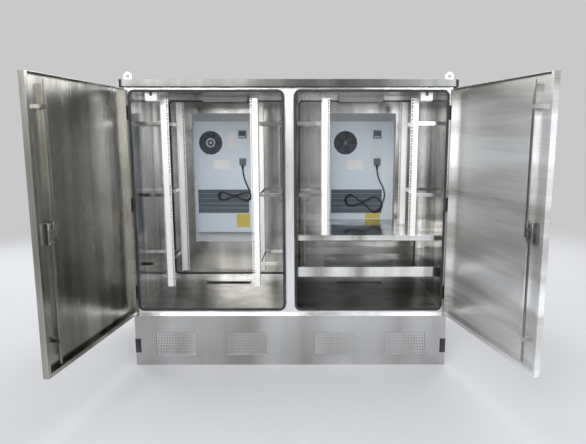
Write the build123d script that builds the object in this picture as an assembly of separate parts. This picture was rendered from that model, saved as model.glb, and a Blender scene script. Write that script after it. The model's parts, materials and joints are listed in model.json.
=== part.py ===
from build123d import *

import math
import os

# A free-standing stainless steel street cabinet with two equipment bays. The front has two
# plain doors, which stand open, and the back has two doors that each carry an air conditioner.
# Millimetres, +Z up, -Y to the front. The origin is on the floor, in the middle of the plinth.
# Left and right are as seen from the front: left is -X.

# How many flats stand in for a round, which keeps what repeats light
pin_sides = 6
lead_sides = 5
hub_sides = 8
wheel_sides = 16
corner_steps = 2

# Body shell
body_width = 1750.0
body_depth = 790.0
plinth_height = 290.0
body_height = 1251.0
shell_sheet = 2.0
mullion_width = 65.0
stile_width = 32.0
opening_sill = 36.0
opening_head = 20.0
opening_radius = 28.0
lip_height = 20.0
floor_raise = 10.0
seal_width = 14.0
seal_clearance = 0.5

# Doors
door_side_inset = 14.0
door_centre_gap = 4.0
door_foot_gap = 4.0
door_head_gap = 8.0
door_depth = 28.0
door_sheet = 2.0
door_frame_gap = 4.0
door_lip = 18.0
door_edge_chamfer = 1.5
front_left_open_deg = 96.7
front_right_open_deg = 102.2

# Hinges
hinge_axis_inset = 7.0
hinge_axis_out = 10.0
hinge_pin_radius = 3.0
hinge_bore_clearance = 0.3
hinge_barrel_radius = 6.2
hinge_height = 75.0
hinge_block_height = 17.0
hinge_gap = 1.0
hinge_leaf_thickness = 3.0
hinge_leaf_width = 22.0
hinge_end_gap = 124.0

# Door stiffener and lock
lock_inset = 82.0
lock_level = 890.0
lock_case_width = 40.0
lock_case_height = 90.0
lock_case_depth = 36.0
lock_case_chamfer = 3.0
stiffener_inset = 112.0
stiffener_width = 46.0
stiffener_web = 26.0
stiffener_depth = 18.0
stiffener_sheet = 1.5
stiffener_margin = 12.0
spindle_size = 8.0
spindle_hole_size = 13.0
cam_radius = 22.0
cam_thickness = 3.0
cam_pin_radius = 3.0
cam_pin_throw = 17.0
cam_rest_deg = 45.0
cam_gap = 0.5
rod_width = 12.0
rod_thickness = 5.0
rod_end_gap = 13.0
yoke_width = 22.0
yoke_height = 56.0
yoke_thickness = 3.0
yoke_end_wall = 4.0
yoke_lap = 12.0
yoke_slot_clearance = 0.8
guide_width = 20.0
guide_height = 16.0
guide_clearance = 0.5
guide_cover = 3.0
guide_offset = 130.0

# Lever handle
handle_plate_width = 46.0
handle_plate_thickness = 4.0
handle_plate_chamfer = 1.5
handle_plate_low = 745.0
handle_plate_high = 1005.0
key_level = 985.0
key_radius = 9.0
key_proud = 2.0
keyway_width = 2.0
keyway_height = 10.0
keyway_depth = 3.0
lever_length = 123.0
lever_width = 18.0
lever_thickness = 13.0
lever_gap = 1.5
lever_tip_chamfer = 3.0
lever_fork_slot = 9.5
lever_fork_clearance = 2.5
lever_pin_radius = 2.0
lever_pin_clearance = 0.3
lever_pin_inset = 1.0

# Handle box and its cover flap, on the back doors
box_width = 130.0
box_depth = 50.0
box_low = 690.0
box_high = 1010.0
box_sheet = 2.0
flap_sheet = 1.5
flap_side = 18.0
flap_gap = 0.8
flap_foot_gap = 2.0
flap_pin_radius = 2.0
flap_pin_clearance = 0.3
flap_knuckle_radius = 4.5
flap_knuckle_length = 60.0
flap_lug_width = 8.0
flap_lug_drop = 3.0
flap_lug_lap = 6.0
flap_axis_drop = 6.0
flap_axis_out = 5.0
flap_open_deg = 140.0

# Air conditioner, its hood and its grilles
cooler_centre = 450.0
cooler_width = 446.0
cooler_low = 637.0
cooler_high = 1383.0
cooler_reach = 90.0
cooler_edge = 4.0
flange_width = 486.0
flange_low = 555.0
flange_high = 1438.0
flange_sheet = 2.0
cutout_margin = 8.0
inner_fan_x = -104.0
inner_fan_z = 1241.0
inner_fan_radius = 74.0
inner_fan_recess = 40.0
louvre_x = -27.0
louvre_width = 343.0
louvre_low = 767.0
louvre_high = 928.0
louvre_depth = 10.0
louvre_count = 5
louvre_bar = 6.4
display_x = 108.0
display_z = 1296.0
display_size = 54.0
display_proud = 3.0
gland_x = 107.0
gland_low = 1093.0
gland_height = 45.0
gland_width = 40.0
gland_depth = 25.0
gland_chamfer = 3.0
chassis_width = 400.0
chassis_depth = 95.0
chassis_low = 640.0
chassis_high = 1385.0
coil_low = 960.0
coil_setback = 12.0
outer_fan_x = 106.0
outer_fan_z = 776.0
outer_fan_radius = 73.0
outer_fan_recess = 45.0
fan_hub_radius = 22.0
fan_clearance = 3.0
fan_tip_gap = 6.0
fan_setback = 6.0
fan_floor_gap = 2.0
fan_blades = 5
fan_blade_sheet = 2.0
fan_blade_pitch_deg = 35.0
fan_blade_root = 4.0
fan_blade_margin = 3.2
fan_axle_radius = 5.0
fan_axle_clearance = 0.3
hood_width = 486.0
hood_depth = 157.0
hood_low = 589.0
hood_high = 1438.0
hood_drop = 43.0
hood_sheet = 2.0
hood_edge_chamfer = 2.0
window_width = 428.0
mesh_window_low = 952.0
mesh_window_high = 1298.0
lower_window_low = 645.0
lower_window_high = 863.0
mesh_border = 14.0
mesh_sheet = 3.0
mesh_bar = 8.0
mesh_columns = 5
mesh_rows = 4
slot_rows = 3

# Plinth fittings
plinth_depth = 850.0
plinth_sheet = 3.0
plinth_foot_x = 120.0
plinth_foot_y = 60.0
plinth_ledge = 45.0
vent_width = 226.0
vent_height = 133.0
vent_level = 125.0
vent_inner = 248.0
vent_outer = 646.0
vent_margin = 12.0
vent_sheet = 1.5
vent_slots = 2
vent_bar = 24.0
plug_width = 30.0
plug_height = 82.0
plug_level = 115.0
plug_thickness = 5.0
plug_proud = 2.0
anchor_inset_x = 60.0
anchor_inset_y = 30.0
anchor_radius = 7.0

# Roof
roof_side_overhang = 22.0
roof_front_overhang = 19.0
roof_lip = 38.0
roof_sheet = 2.0
roof_crown = 14.0
roof_corner_radius = 30.0
roof_border = 60.0
roof_ridge_width = 120.0
roof_spacer_width = 60.0
roof_spacer_inset = 45.0
eye_inset = 95.0
eye_width = 44.0
eye_height = 40.0
eye_thickness = 6.0
eye_chamfer = 14.5
eye_hole_radius = 10.0

# Rack, shelves and lamps
rack_centre = 445.0
rack_opening = 450.0
rail_face = 42.0
rail_side = 35.0
rail_sheet = 2.0
rail_low = 425.0
rail_high = 1492.0
rail_front_setback = 100.0
rail_rear_setback = 495.0
rail_hole = 9.5
rail_hole_edge = 7.5
rail_hole_pitch = 444.5
arm_height = 20.0
arm_sheet = 3.0
arm_lap = 15.0
arm_head_gap = 137.0
arm_pitch = 400.0
shelf_level = 729.0
shelf_lip = 28.0
tray_level = 490.0
tray_lip = 57.0
shelf_setback = 70.0
shelf_cooler_gap = 40.0
shelf_sheet = 2.0
shelf_clearance = 0.4
lamp_width = 64.0
lamp_depth = 40.0
lamp_drop = 70.0
lamp_x = 735.0
lamp_edge = 4.0
lamp_frame_gap = 1.0
bar_lamp_length = 290.0
bar_lamp_width = 40.0
bar_lamp_drop = 28.0
bar_lamp_inset = 75.0
entry_width = 300.0
entry_depth = 70.0
entry_inset = 135.0

# Power leads of the air conditioners
lead_radius = 4.0
lead_standoff = 13.0
hank_depth = 24.0
hank_standoff = 0.3
hank_tie_width = 44.0
hank_tie_height = 24.0
lead_arc_share = 0.45

# What follows from the sizes above
octagon_corner = 2 - math.sqrt(2)
half_width = body_width / 2
frame_y = -body_depth / 2
body_low = plinth_height
body_high = plinth_height + body_height
door_back_y = frame_y - door_frame_gap
door_face_y = door_back_y - door_depth
door_skin_y = door_face_y + door_sheet
door_free_x = door_centre_gap / 2
door_hinge_x = half_width - door_side_inset
door_low = body_low + door_foot_gap
door_high = body_high - door_head_gap
opening_low = body_low + opening_sill
opening_high = body_high - opening_head
opening_inner_x = mullion_width / 2
opening_outer_x = half_width - stile_width
hinge_x = door_hinge_x + hinge_axis_inset
hinge_y = frame_y - hinge_axis_out
hinge_low, hinge_high = door_low + hinge_end_gap, door_high - hinge_end_gap
hinge_levels = (hinge_low, (hinge_low + hinge_high) / 2, hinge_high)
floor_level = body_low + floor_raise
ceiling_level = body_high - shell_sheet
lock_x = door_free_x + lock_inset
lever_axis_y = door_face_y - handle_plate_thickness - lever_gap - lever_thickness / 2
cooler_face_y = -door_skin_y - cooler_reach


def span(x0, x1, y0, y1, z0, z1):
    """A block between two corners."""
    size = (abs(x1 - x0), abs(y1 - y0), abs(z1 - z0))
    return Pos((x0 + x1) / 2, (y0 + y1) / 2, (z0 + z1) / 2) * Box(*size)


def hole_y(x, z, y0, y1, radius):
    """A true round hole along Y."""
    return Pos(x, (y0 + y1) / 2, z) * Rot(90, 0, 0) * Cylinder(radius, abs(y1 - y0))


def hole_z(x, y, z0, z1, radius):
    """A true round hole along Z."""
    return Pos(x, y, (z0 + z1) / 2) * Cylinder(radius, abs(z1 - z0))


def flats(radius, length, sides, around):
    """An upright bar of flats, drawn inside its circle, or around it where it is a bore."""
    outline = RegularPolygon(radius, sides, major_radius=not around)
    return extrude(outline, amount=length / 2, both=True)


def bar_x(x0, x1, y, z, radius, sides=pin_sides, around=False):
    """A small round bar or bore along X."""
    place = Pos((x0 + x1) / 2, y, z) * Rot(0, 90, 0)
    return place * flats(radius, abs(x1 - x0), sides, around)


def bar_y(x, z, y0, y1, radius, sides=pin_sides, around=False):
    """A small round bar or bore along Y."""
    place = Pos(x, (y0 + y1) / 2, z) * Rot(90, 0, 0)
    return place * flats(radius, abs(y1 - y0), sides, around)


def bar_z(x, y, z0, z1, radius, sides=pin_sides, around=False):
    """A small round bar or bore along Z."""
    return Pos(x, y, (z0 + z1) / 2) * flats(radius, abs(z1 - z0), sides, around)


def rounded(width, height, radius):
    """A rectangle whose rounded corners are short straight steps."""
    points = []
    for corner in range(4):
        side_x = 1 if corner in (0, 3) else -1
        side_y = 1 if corner < 2 else -1
        for step in range(corner_steps + 1):
            turn = math.radians(90 * (corner + step / corner_steps))
            x = side_x * (width / 2 - radius) + radius * math.cos(turn)
            y = side_y * (height / 2 - radius) + radius * math.sin(turn)
            points.append((x, y))
    return make_face(Polyline(*points, close=True))


def oval(half_width, half_height, sides):
    """An oval of flats."""
    turns = [2 * math.pi * i / sides for i in range(sides)]
    points = [(half_width * math.cos(turn), half_height * math.sin(turn)) for turn in turns]
    return make_face(Polyline(*points, close=True))


def join(pieces):
    """One solid from pieces that touch or overlap."""
    first, *rest = pieces
    return first.fuse(*rest).clean() if rest else first


def to_left(shape):
    return mirror(shape, about=Plane.YZ)


def to_back(shape):
    return mirror(shape, about=Plane.XZ)


def swung(shape, angle):
    """A piece of the right front door, turned open about its hinge pins."""
    return Pos(hinge_x, hinge_y, 0) * Rot(0, 0, angle) * Pos(-hinge_x, -hinge_y, 0) * shape


# Every door piece is drawn on the closed right front door and then taken to its own door.
DOORS = {
    "front_left": lambda shape: to_left(swung(shape, front_left_open_deg)),
    "front_right": lambda shape: swung(shape, front_right_open_deg),
    "rear_left": lambda shape: to_left(to_back(shape)),
    "rear_right": lambda shape: to_back(shape),
}
REAR_SIDES = {"rear_left": -1, "rear_right": 1}


# Plinth

def vent_places():
    """Where the eight vents are: a sign for the face and the middle of each."""
    return [
        (face, side * x)
        for face in (-1, 1)
        for side in (-1, 1)
        for x in (vent_inner, vent_outer)
    ]


def plinth():
    """The folded base frame with its vent windows, corner slots and anchor holes."""
    half_depth = plinth_depth / 2
    body = span(-half_width, half_width, -half_depth, half_depth, 0, plinth_height)
    inner_x, inner_y = half_width - plinth_sheet, half_depth - plinth_sheet
    body -= span(-inner_x, inner_x, -inner_y, inner_y, plinth_sheet, plinth_height - plinth_sheet)
    foot_x, foot_y = half_width - plinth_foot_x, half_depth - plinth_foot_y
    body -= span(-foot_x, foot_x, -foot_y, foot_y, 0, plinth_sheet)
    ledge_x, ledge_y = half_width - plinth_ledge, half_depth - plinth_ledge
    body -= span(-ledge_x, ledge_x, -ledge_y, ledge_y, plinth_height - plinth_sheet, plinth_height)
    vent_low, vent_high = vent_level - vent_height / 2, vent_level + vent_height / 2
    for face, x in vent_places():
        wall = (face * half_depth, face * inner_y)
        body -= span(x - vent_width / 2, x + vent_width / 2, *wall, vent_low, vent_high)
    plug_low, plug_high = plug_level - plug_height / 2, plug_level + plug_height / 2
    for face in (-1, 1):
        for side in (-1, 1):
            edge_x, edge_y = side * half_width, face * half_depth
            slot = (edge_x, edge_x - side * plug_width, edge_y, edge_y - face * plug_width)
            body -= span(*slot, plug_low, plug_high)
            x = side * (half_width - anchor_inset_x)
            y = face * (half_depth - anchor_inset_y)
            body -= hole_z(x, y, 0, plinth_sheet, anchor_radius)
    return body


def plinth_vents():
    """Eight slotted plates, each seated on the inside of the plinth wall."""
    inner_y = plinth_depth / 2 - plinth_sheet
    half_x, half_z = vent_width / 2 + vent_margin, vent_height / 2 + vent_margin
    pitch = vent_height / vent_slots
    half_slot = (pitch - vent_bar) / 2
    plates = []
    for face, x in vent_places():
        back = (face * inner_y, face * (inner_y - vent_sheet))
        plate = span(x - half_x, x + half_x, *back, vent_level - half_z, vent_level + half_z)
        for row in range(vent_slots):
            z = vent_level - vent_height / 2 + (row + 0.5) * pitch
            reach = vent_width / 2 - vent_margin
            plate -= span(x - reach, x + reach, *back, z - half_slot, z + half_slot)
        plates.append(plate)
    return plates


def corner_plugs():
    """Four rubber angles that close the lifting slots in the plinth's corners."""
    low, high = plug_level - plug_height / 2, plug_level + plug_height / 2
    plugs = []
    for face in (-1, 1):
        for side in (-1, 1):
            outer_x = side * (half_width + plug_proud)
            outer_y = face * (plinth_depth / 2 + plug_proud)
            inner_x = side * (half_width - plug_width)
            inner_y = face * (plinth_depth / 2 - plug_width)
            plug = span(inner_x, outer_x, inner_y, outer_y, low, high)
            hollow_x = side * (half_width + plug_proud - plug_thickness)
            hollow_y = face * (plinth_depth / 2 + plug_proud - plug_thickness)
            plugs.append(plug - span(inner_x, hollow_x, inner_y, hollow_y, low, high))
    return plugs


# Body shell

def opening_outline(grow):
    """The rounded outline of the right bay's opening, drawn in the XZ plane."""
    width = opening_outer_x - opening_inner_x + 2 * grow
    height = opening_high - opening_low + 2 * grow
    middle = ((opening_inner_x + opening_outer_x) / 2, (opening_low + opening_high) / 2)
    return Pos(*middle) * rounded(width, height, opening_radius + grow)


def opening_prism(grow, y0, y1):
    """The rounded opening of the right bay as a block from y0 back to y1."""
    face = Plane(origin=(0, y0, 0), x_dir=(1, 0, 0), z_dir=(0, -1, 0)) * opening_outline(grow)
    return extrude(face, amount=y0 - y1)


def front_frame():
    """The face sheet with a raised lip round each bay's opening."""
    frame = span(-half_width, half_width, frame_y, frame_y + shell_sheet, body_low, body_high)
    lip = opening_prism(shell_sheet, frame_y - lip_height, frame_y)
    hole = opening_prism(0, frame_y - lip_height, frame_y + shell_sheet)
    frame = join([frame, lip, to_left(lip)])
    return frame - hole - to_left(hole)


def door_seals():
    """Four rubber loops on the lips, one round each opening."""
    grow = (seal_width + shell_sheet) / 2
    outer_y = door_skin_y + seal_clearance
    lip_y = frame_y - lip_height
    loop = opening_prism(grow, outer_y, lip_y) - opening_prism(grow - seal_width, outer_y, lip_y)
    front = [loop, to_left(loop)]
    return front + [to_back(shape) for shape in front]


def body_wrapper():
    """The folded side walls and ceiling, between the two frames."""
    y0, y1 = frame_y + shell_sheet, -frame_y - shell_sheet
    outside = span(-half_width, half_width, y0, y1, body_low, body_high)
    inner = half_width - shell_sheet
    return outside - span(-inner, inner, y0, y1, body_low, ceiling_level)


def partition():
    """The wall between the bays, with a folded flange at each frame."""
    y0, y1 = frame_y + shell_sheet, -frame_y - shell_sheet
    half_sheet, half_flange = shell_sheet / 2, mullion_width / 2
    low, high = floor_level, ceiling_level
    web = span(-half_sheet, half_sheet, y0, y1, low, high)
    flanges = [
        span(-half_flange, half_flange, y, y + step, low, high)
        for y, step in ((y0, shell_sheet), (y1, -shell_sheet))
    ]
    return join([web, *flanges])


def floor_panel():
    """The floor tray with turned-down skirts and a cable entry at the back of each bay."""
    y0, y1 = frame_y + shell_sheet, -frame_y - shell_sheet
    edge = half_width - shell_sheet
    tray = span(-edge, edge, y0, y1, body_low, floor_level)
    inner = edge - shell_sheet
    tray -= span(-inner, inner, y0 + shell_sheet, y1 - shell_sheet,
                 body_low, floor_level - shell_sheet)
    y = -frame_y - entry_inset
    for side in (-1, 1):
        x = side * rack_centre
        tray -= span(x - entry_width / 2, x + entry_width / 2, y - entry_depth / 2,
                     y + entry_depth / 2, floor_level - shell_sheet, floor_level)
    return tray


def hip(plane, foot, ridge, level, length):
    """A long wedge with a flat ridge, drawn in a plane and extruded both ways."""
    top = level + roof_crown
    points = [(-foot, level), (foot, level), (ridge, top), (-ridge, top)]
    return extrude(plane * make_face(Polyline(*points, close=True)), amount=length / 2, both=True)


def roof_form(shrink):
    """The roof's rounded tray under its low hipped crown, smaller all round by a sheet."""
    width = body_width + 2 * roof_side_overhang - 2 * shrink
    depth = 2 * (roof_front_overhang - door_face_y - shrink)
    edge = body_high + roof_lip - shrink
    outline = rounded(width, depth, roof_corner_radius - shrink)
    tray = extrude(Pos(0, 0, body_high) * outline, amount=roof_lip - shrink)
    half_x, half_y = width / 2 - roof_border, depth / 2 - roof_border
    gable = hip(Plane.XZ, half_x, (width - depth) / 2, edge, depth)
    slopes = hip(Plane.YZ, half_y, roof_ridge_width / 2, edge, width)
    return join([tray, gable & slopes])


def roof():
    """The rounded roof tray, crowned to shed water, on two spacer channels."""
    tray = roof_form(0) - roof_form(roof_sheet)
    top = body_high + roof_lip - roof_sheet
    for side in (-1, 1):
        x = side * (half_width - roof_spacer_inset)
        half = roof_spacer_width / 2
        channel = span(x - half, x + half, frame_y, -frame_y, body_high, top)
        inner = half - roof_sheet
        channel -= span(x - inner, x + inner, frame_y, -frame_y, body_high, top - roof_sheet)
        tray = join([tray, channel])
    return tray


def lifting_eyes():
    """Four flat lugs on the roof's corners."""
    half_depth = roof_front_overhang - door_face_y
    foot = body_high + roof_lip
    eyes = []
    for face in (-1, 1):
        for side in (-1, 1):
            x = side * (half_width + roof_side_overhang - eye_inset / 2)
            y = face * (half_depth - eye_inset / 2)
            lug = span(x - eye_width / 2, x + eye_width / 2, y - eye_thickness / 2,
                       y + eye_thickness / 2, foot, foot + eye_height)
            top = lug.edges().filter_by(Axis.Y).group_by(Axis.Z)[-1]
            lug = chamfer(top, eye_chamfer)
            level = foot + eye_height - eye_width / 2
            lug -= hole_y(x, level, y - eye_thickness, y + eye_thickness, eye_hole_radius)
            eyes.append(lug)
    return eyes


# Hinges

def hinge_bracket(level):
    """The fixed half of a right front hinge: a leaf with two blocks and the pin."""
    half = hinge_height / 2
    leaf_y = frame_y - hinge_leaf_thickness
    leaf = span(half_width - hinge_leaf_width, half_width, leaf_y, frame_y,
                level - half, level + half)
    pieces = [leaf]
    barrel = hinge_barrel_radius
    for low in (level - half, level + half - hinge_block_height):
        high = low + hinge_block_height
        block = span(hinge_x - barrel, hinge_x + barrel, hinge_y - barrel, leaf_y, low, high)
        corners = block.edges().filter_by(Axis.Z).group_by(Axis.Y)[0]
        pieces.append(chamfer(corners, barrel * octagon_corner))
    inner = half - hinge_block_height
    pieces.append(bar_z(hinge_x, hinge_y, level - inner, level + inner, hinge_pin_radius))
    return join(pieces)


def hinge_brackets():
    """The fixed halves of all twelve hinges."""
    front = [hinge_bracket(level) for level in hinge_levels]
    front += [to_left(shape) for shape in front]
    return front + [to_back(shape) for shape in front]


def hinge_knuckle(level):
    """The door's half of a hinge, welded to the folded edge of the door."""
    half = hinge_height / 2 - hinge_block_height - hinge_gap
    barrel = hinge_barrel_radius
    low, high = level - half, level + half
    block = span(door_hinge_x, hinge_x + barrel, hinge_y - barrel, hinge_y + barrel, low, high)
    far = block.edges().filter_by(Axis.Z).group_by(Axis.X)[-1]
    block = chamfer(far, barrel * octagon_corner)
    bore = hinge_pin_radius + hinge_bore_clearance
    return block - bar_z(hinge_x, hinge_y, low, high, bore, around=True)


# Door leaf

def spindle_hole(y0, y1):
    """The square hole that lets the spindle turn freely."""
    half = spindle_hole_size / 2
    return span(lock_x - half, lock_x + half, y0, y1, lock_level - half, lock_level + half)


def stiffener():
    """A top-hat channel spot-welded to the inside of the door."""
    x0 = door_free_x + stiffener_inset
    x1 = x0 + stiffener_width
    flange = (stiffener_width - stiffener_web) / 2
    low = opening_low + seal_width + stiffener_margin
    high = opening_high - seal_width - stiffener_margin
    crown_y = door_skin_y + stiffener_depth
    hat = join([
        span(x0, x1, door_skin_y, door_skin_y + stiffener_sheet, low, high),
        span(x0 + flange, x1 - flange, door_skin_y, crown_y, low, high),
    ])
    inner = (x0 + flange + stiffener_sheet, x1 - flange - stiffener_sheet)
    return hat - span(*inner, door_skin_y, crown_y - stiffener_sheet, low, high)


def cam_pin_rest():
    """How far a cam pin lies at rest from the lock's axis, across and along the door."""
    turn = math.radians(cam_rest_deg)
    return cam_pin_throw * math.cos(turn), cam_pin_throw * math.sin(turn)


def rod_line(way):
    """The middle of a lock rod: way is 1 for the upper rod and -1 for the lower one."""
    return lock_x + way * (cam_pin_rest()[0] + cam_pin_throw) / 2


def rod_layer():
    """The near and far faces of the flat lock rods."""
    cam_far = door_skin_y + lock_case_depth + cam_gap + cam_thickness
    return cam_far + cam_gap, cam_far + cam_gap + rod_thickness


def rod_guide(way):
    """A welded post with a window that a lock rod slides through."""
    x = rod_line(way)
    near, far = rod_layer()
    level = door_high - guide_offset if way > 0 else door_low + guide_offset + guide_height
    half_x, half_z = guide_width / 2, guide_height / 2
    post = span(x - half_x, x + half_x, door_skin_y, far + guide_cover,
                level - half_z, level + half_z)
    window_x = rod_width / 2 + guide_clearance
    window = (near - guide_clearance, far + guide_clearance, level - half_z, level + half_z)
    return post - span(x - window_x, x + window_x, *window)


def door_leaf(with_cooler):
    """The folded door with its stiffener, rod guides and hinge knuckles welded on."""
    pan = span(door_free_x, door_hinge_x, door_face_y, door_back_y, door_low, door_high)
    pan = chamfer(pan.faces().sort_by(Axis.Y)[0].edges(), door_edge_chamfer)
    x0, x1 = door_free_x + door_sheet, door_hinge_x - door_sheet
    z0, z1 = door_low + door_sheet, door_high - door_sheet
    pan -= span(x0, x1, door_skin_y, door_back_y, z0, z1)
    free_lip = span(door_free_x, door_free_x + door_lip, door_back_y - door_sheet, door_back_y,
                    door_low, door_high)
    foot_lip = span(door_free_x, door_hinge_x, door_back_y - door_sheet, door_back_y,
                    door_low, door_low + door_lip)
    guides = [rod_guide(way) for way in (-1, 1)]
    knuckles = [hinge_knuckle(level) for level in hinge_levels]
    leaf = join([pan, free_lip, foot_lip, stiffener(), *guides, *knuckles])
    leaf -= spindle_hole(door_face_y, door_skin_y)
    if with_cooler:
        reach = chassis_width / 2 + cutout_margin
        low, high = chassis_low - cutout_margin, chassis_high + cutout_margin
        middle = cooler_centre
        leaf -= span(middle - reach, middle + reach, door_face_y, door_skin_y, low, high)
    return leaf


# Lock

def lock_case():
    """The closed gearbox on the inside of the door, with the spindle's bore."""
    half_x, half_z = lock_case_width / 2, lock_case_height / 2
    far = door_skin_y + lock_case_depth
    case = span(lock_x - half_x, lock_x + half_x, door_skin_y, far,
                lock_level - half_z, lock_level + half_z)
    case = chamfer(case.faces().sort_by(Axis.Y)[-1].edges(), lock_case_chamfer)
    return case - spindle_hole(door_skin_y, far)


def spindle():
    """The square spindle with its cam plate, two drive pins and the tongue for the lever."""
    cam_near = door_skin_y + lock_case_depth + cam_gap
    half = spindle_size / 2
    bar = span(lock_x - half, lock_x + half, lever_axis_y, cam_near + cam_thickness,
               lock_level - half, lock_level + half)
    plate = bar_y(lock_x, lock_level, cam_near, cam_near + cam_thickness, cam_radius, hub_sides)
    far = rod_layer()[1]
    across, along = cam_pin_rest()
    pins = [
        bar_y(lock_x + way * across, lock_level - way * along, cam_near, far, cam_pin_radius)
        for way in (-1, 1)
    ]
    pin_reach = lever_width / 2 - lever_pin_inset
    cross = bar_x(lock_x - pin_reach, lock_x + pin_reach, lever_axis_y, lock_level,
                  lever_pin_radius)
    return join([bar, plate, *pins, cross])


def lock_rod(way):
    """A flat lock rod with the slotted yoke that a cam pin drives, drawn withdrawn."""
    near, far = rod_layer()
    x = rod_line(way)
    half_x, half_z = rod_width / 2, cam_pin_radius + yoke_slot_clearance
    across, along = cam_pin_rest()
    pin_level = lock_level - way * along
    foot = pin_level - way * (half_z + yoke_end_wall)
    neck = foot + way * yoke_height
    end = opening_high - rod_end_gap if way > 0 else opening_low + rod_end_gap
    yoke = span(x - yoke_width / 2, x + yoke_width / 2, near, near + yoke_thickness, foot, neck)
    bar = span(x - half_x, x + half_x, near, far, neck - way * yoke_lap, end)
    slot_near = lock_x + way * (across - half_z)
    slot_far = lock_x + way * (cam_pin_throw + half_z)
    slot = span(slot_near, slot_far, near, far, pin_level - half_z, pin_level + half_z)
    return join([yoke, bar]) - slot


def handle_plate():
    """The plate that carries the lever, with the key cylinder above it."""
    half = handle_plate_width / 2
    front = door_face_y - handle_plate_thickness
    plate = span(lock_x - half, lock_x + half, front, door_face_y,
                 handle_plate_low, handle_plate_high)
    plate = chamfer(plate.faces().sort_by(Axis.Y)[0].edges(), handle_plate_chamfer)
    key = bar_y(lock_x, key_level, front - key_proud, front, key_radius, hub_sides)
    half_slot, tip = keyway_width / 2, front - key_proud
    keyway = span(lock_x - half_slot, lock_x + half_slot, tip, tip + keyway_depth,
                  key_level - keyway_height / 2, key_level + keyway_height / 2)
    plate = join([plate, key]) - keyway
    return plate - spindle_hole(front, door_face_y)


def lever():
    """The tapered lever, forked round the spindle and hung on its cross pin."""
    half_x, half_y = lever_width / 2, lever_thickness / 2
    low = lock_level - lever_length
    hub = bar_x(lock_x - half_x, lock_x + half_x, lever_axis_y, lock_level, half_y,
                hub_sides, around=True)
    grip = span(lock_x - half_x, lock_x + half_x, lever_axis_y - half_y, lever_axis_y + half_y,
                low, lock_level)
    grip = chamfer(grip.faces().sort_by(Axis.Z)[0].edges(), lever_tip_chamfer)
    body = join([grip, hub])
    slot = lever_fork_slot / 2
    depth = spindle_size / 2 + lever_fork_clearance
    body -= span(lock_x - slot, lock_x + slot, lever_axis_y - lever_thickness,
                 lever_axis_y + lever_thickness, lock_level - depth, lock_level + lever_thickness)
    bore = lever_pin_radius + lever_pin_clearance
    return body - bar_x(lock_x - half_x, lock_x + half_x, lever_axis_y, lock_level, bore,
                        around=True)


# Handle box

def flap_axis():
    """Where the cover flap's pin runs, as y and z."""
    return door_face_y - box_depth - flap_axis_out, box_low - flap_axis_drop


def handle_box():
    """The open box round the lever, with the flap's lugs and pin, and the handle plate."""
    x0, x1 = lock_x - box_width / 2, lock_x + box_width / 2
    front = door_face_y - box_depth
    body = span(x0, x1, front, door_face_y, box_low, box_high)
    body -= span(x0 + box_sheet, x1 - box_sheet, front, door_face_y - box_sheet,
                 box_low + box_sheet, box_high - box_sheet)
    y, z = flap_axis()
    pieces = [body]
    lug_x = flap_knuckle_length / 2 + flap_gap
    for side in (-1, 1):
        inner, outer = lock_x + side * lug_x, lock_x + side * (lug_x + flap_lug_width)
        pieces.append(span(inner, outer, y - flap_knuckle_radius, front + flap_lug_lap,
                           z - flap_lug_drop, box_low))
    reach = lug_x + flap_lug_width
    pieces.append(bar_x(lock_x - reach, lock_x + reach, y, z, flap_pin_radius))
    pieces.append(handle_plate())
    return join(pieces) - spindle_hole(door_face_y - handle_plate_thickness, door_face_y)


def closed_flap():
    """The cover flap as it closes the box: a pan with two sides and a hinge knuckle."""
    side_x = box_width / 2 + flap_gap + flap_sheet
    near = door_face_y - box_depth - flap_gap
    far = near - flap_sheet
    low, high = box_low + flap_foot_gap, box_high
    pan = span(lock_x - side_x, lock_x + side_x, far, near + flap_side, low, high)
    inner = side_x - flap_sheet
    pan -= span(lock_x - inner, lock_x + inner, near, near + flap_side, low, high)
    y, z = flap_axis()
    half = flap_knuckle_length / 2
    tongue = span(lock_x - half, lock_x + half, far, near, z, low)
    knuckle = bar_x(lock_x - half, lock_x + half, y, z, flap_knuckle_radius, hub_sides)
    body = join([pan, tongue, knuckle])
    bore = flap_pin_radius + flap_pin_clearance
    return body - bar_x(lock_x - half, lock_x + half, y, z, bore, around=True)


def flap():
    """The cover flap, hanging open on its pin."""
    y, z = flap_axis()
    return Pos(0, y, z) * Rot(flap_open_deg, 0, 0) * Pos(0, -y, -z) * closed_flap()


# Air conditioner, drawn at the back with its middle at x = 0

def fan_seat(x, z, radius, mouth, floor):
    """The round recess of a fan, from its mouth to its floor, with the axle left standing."""
    axle = bar_y(x, z, mouth, floor, fan_axle_radius)
    return bar_y(x, z, mouth, floor, radius + fan_clearance, wheel_sides, around=True) - axle


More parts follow.
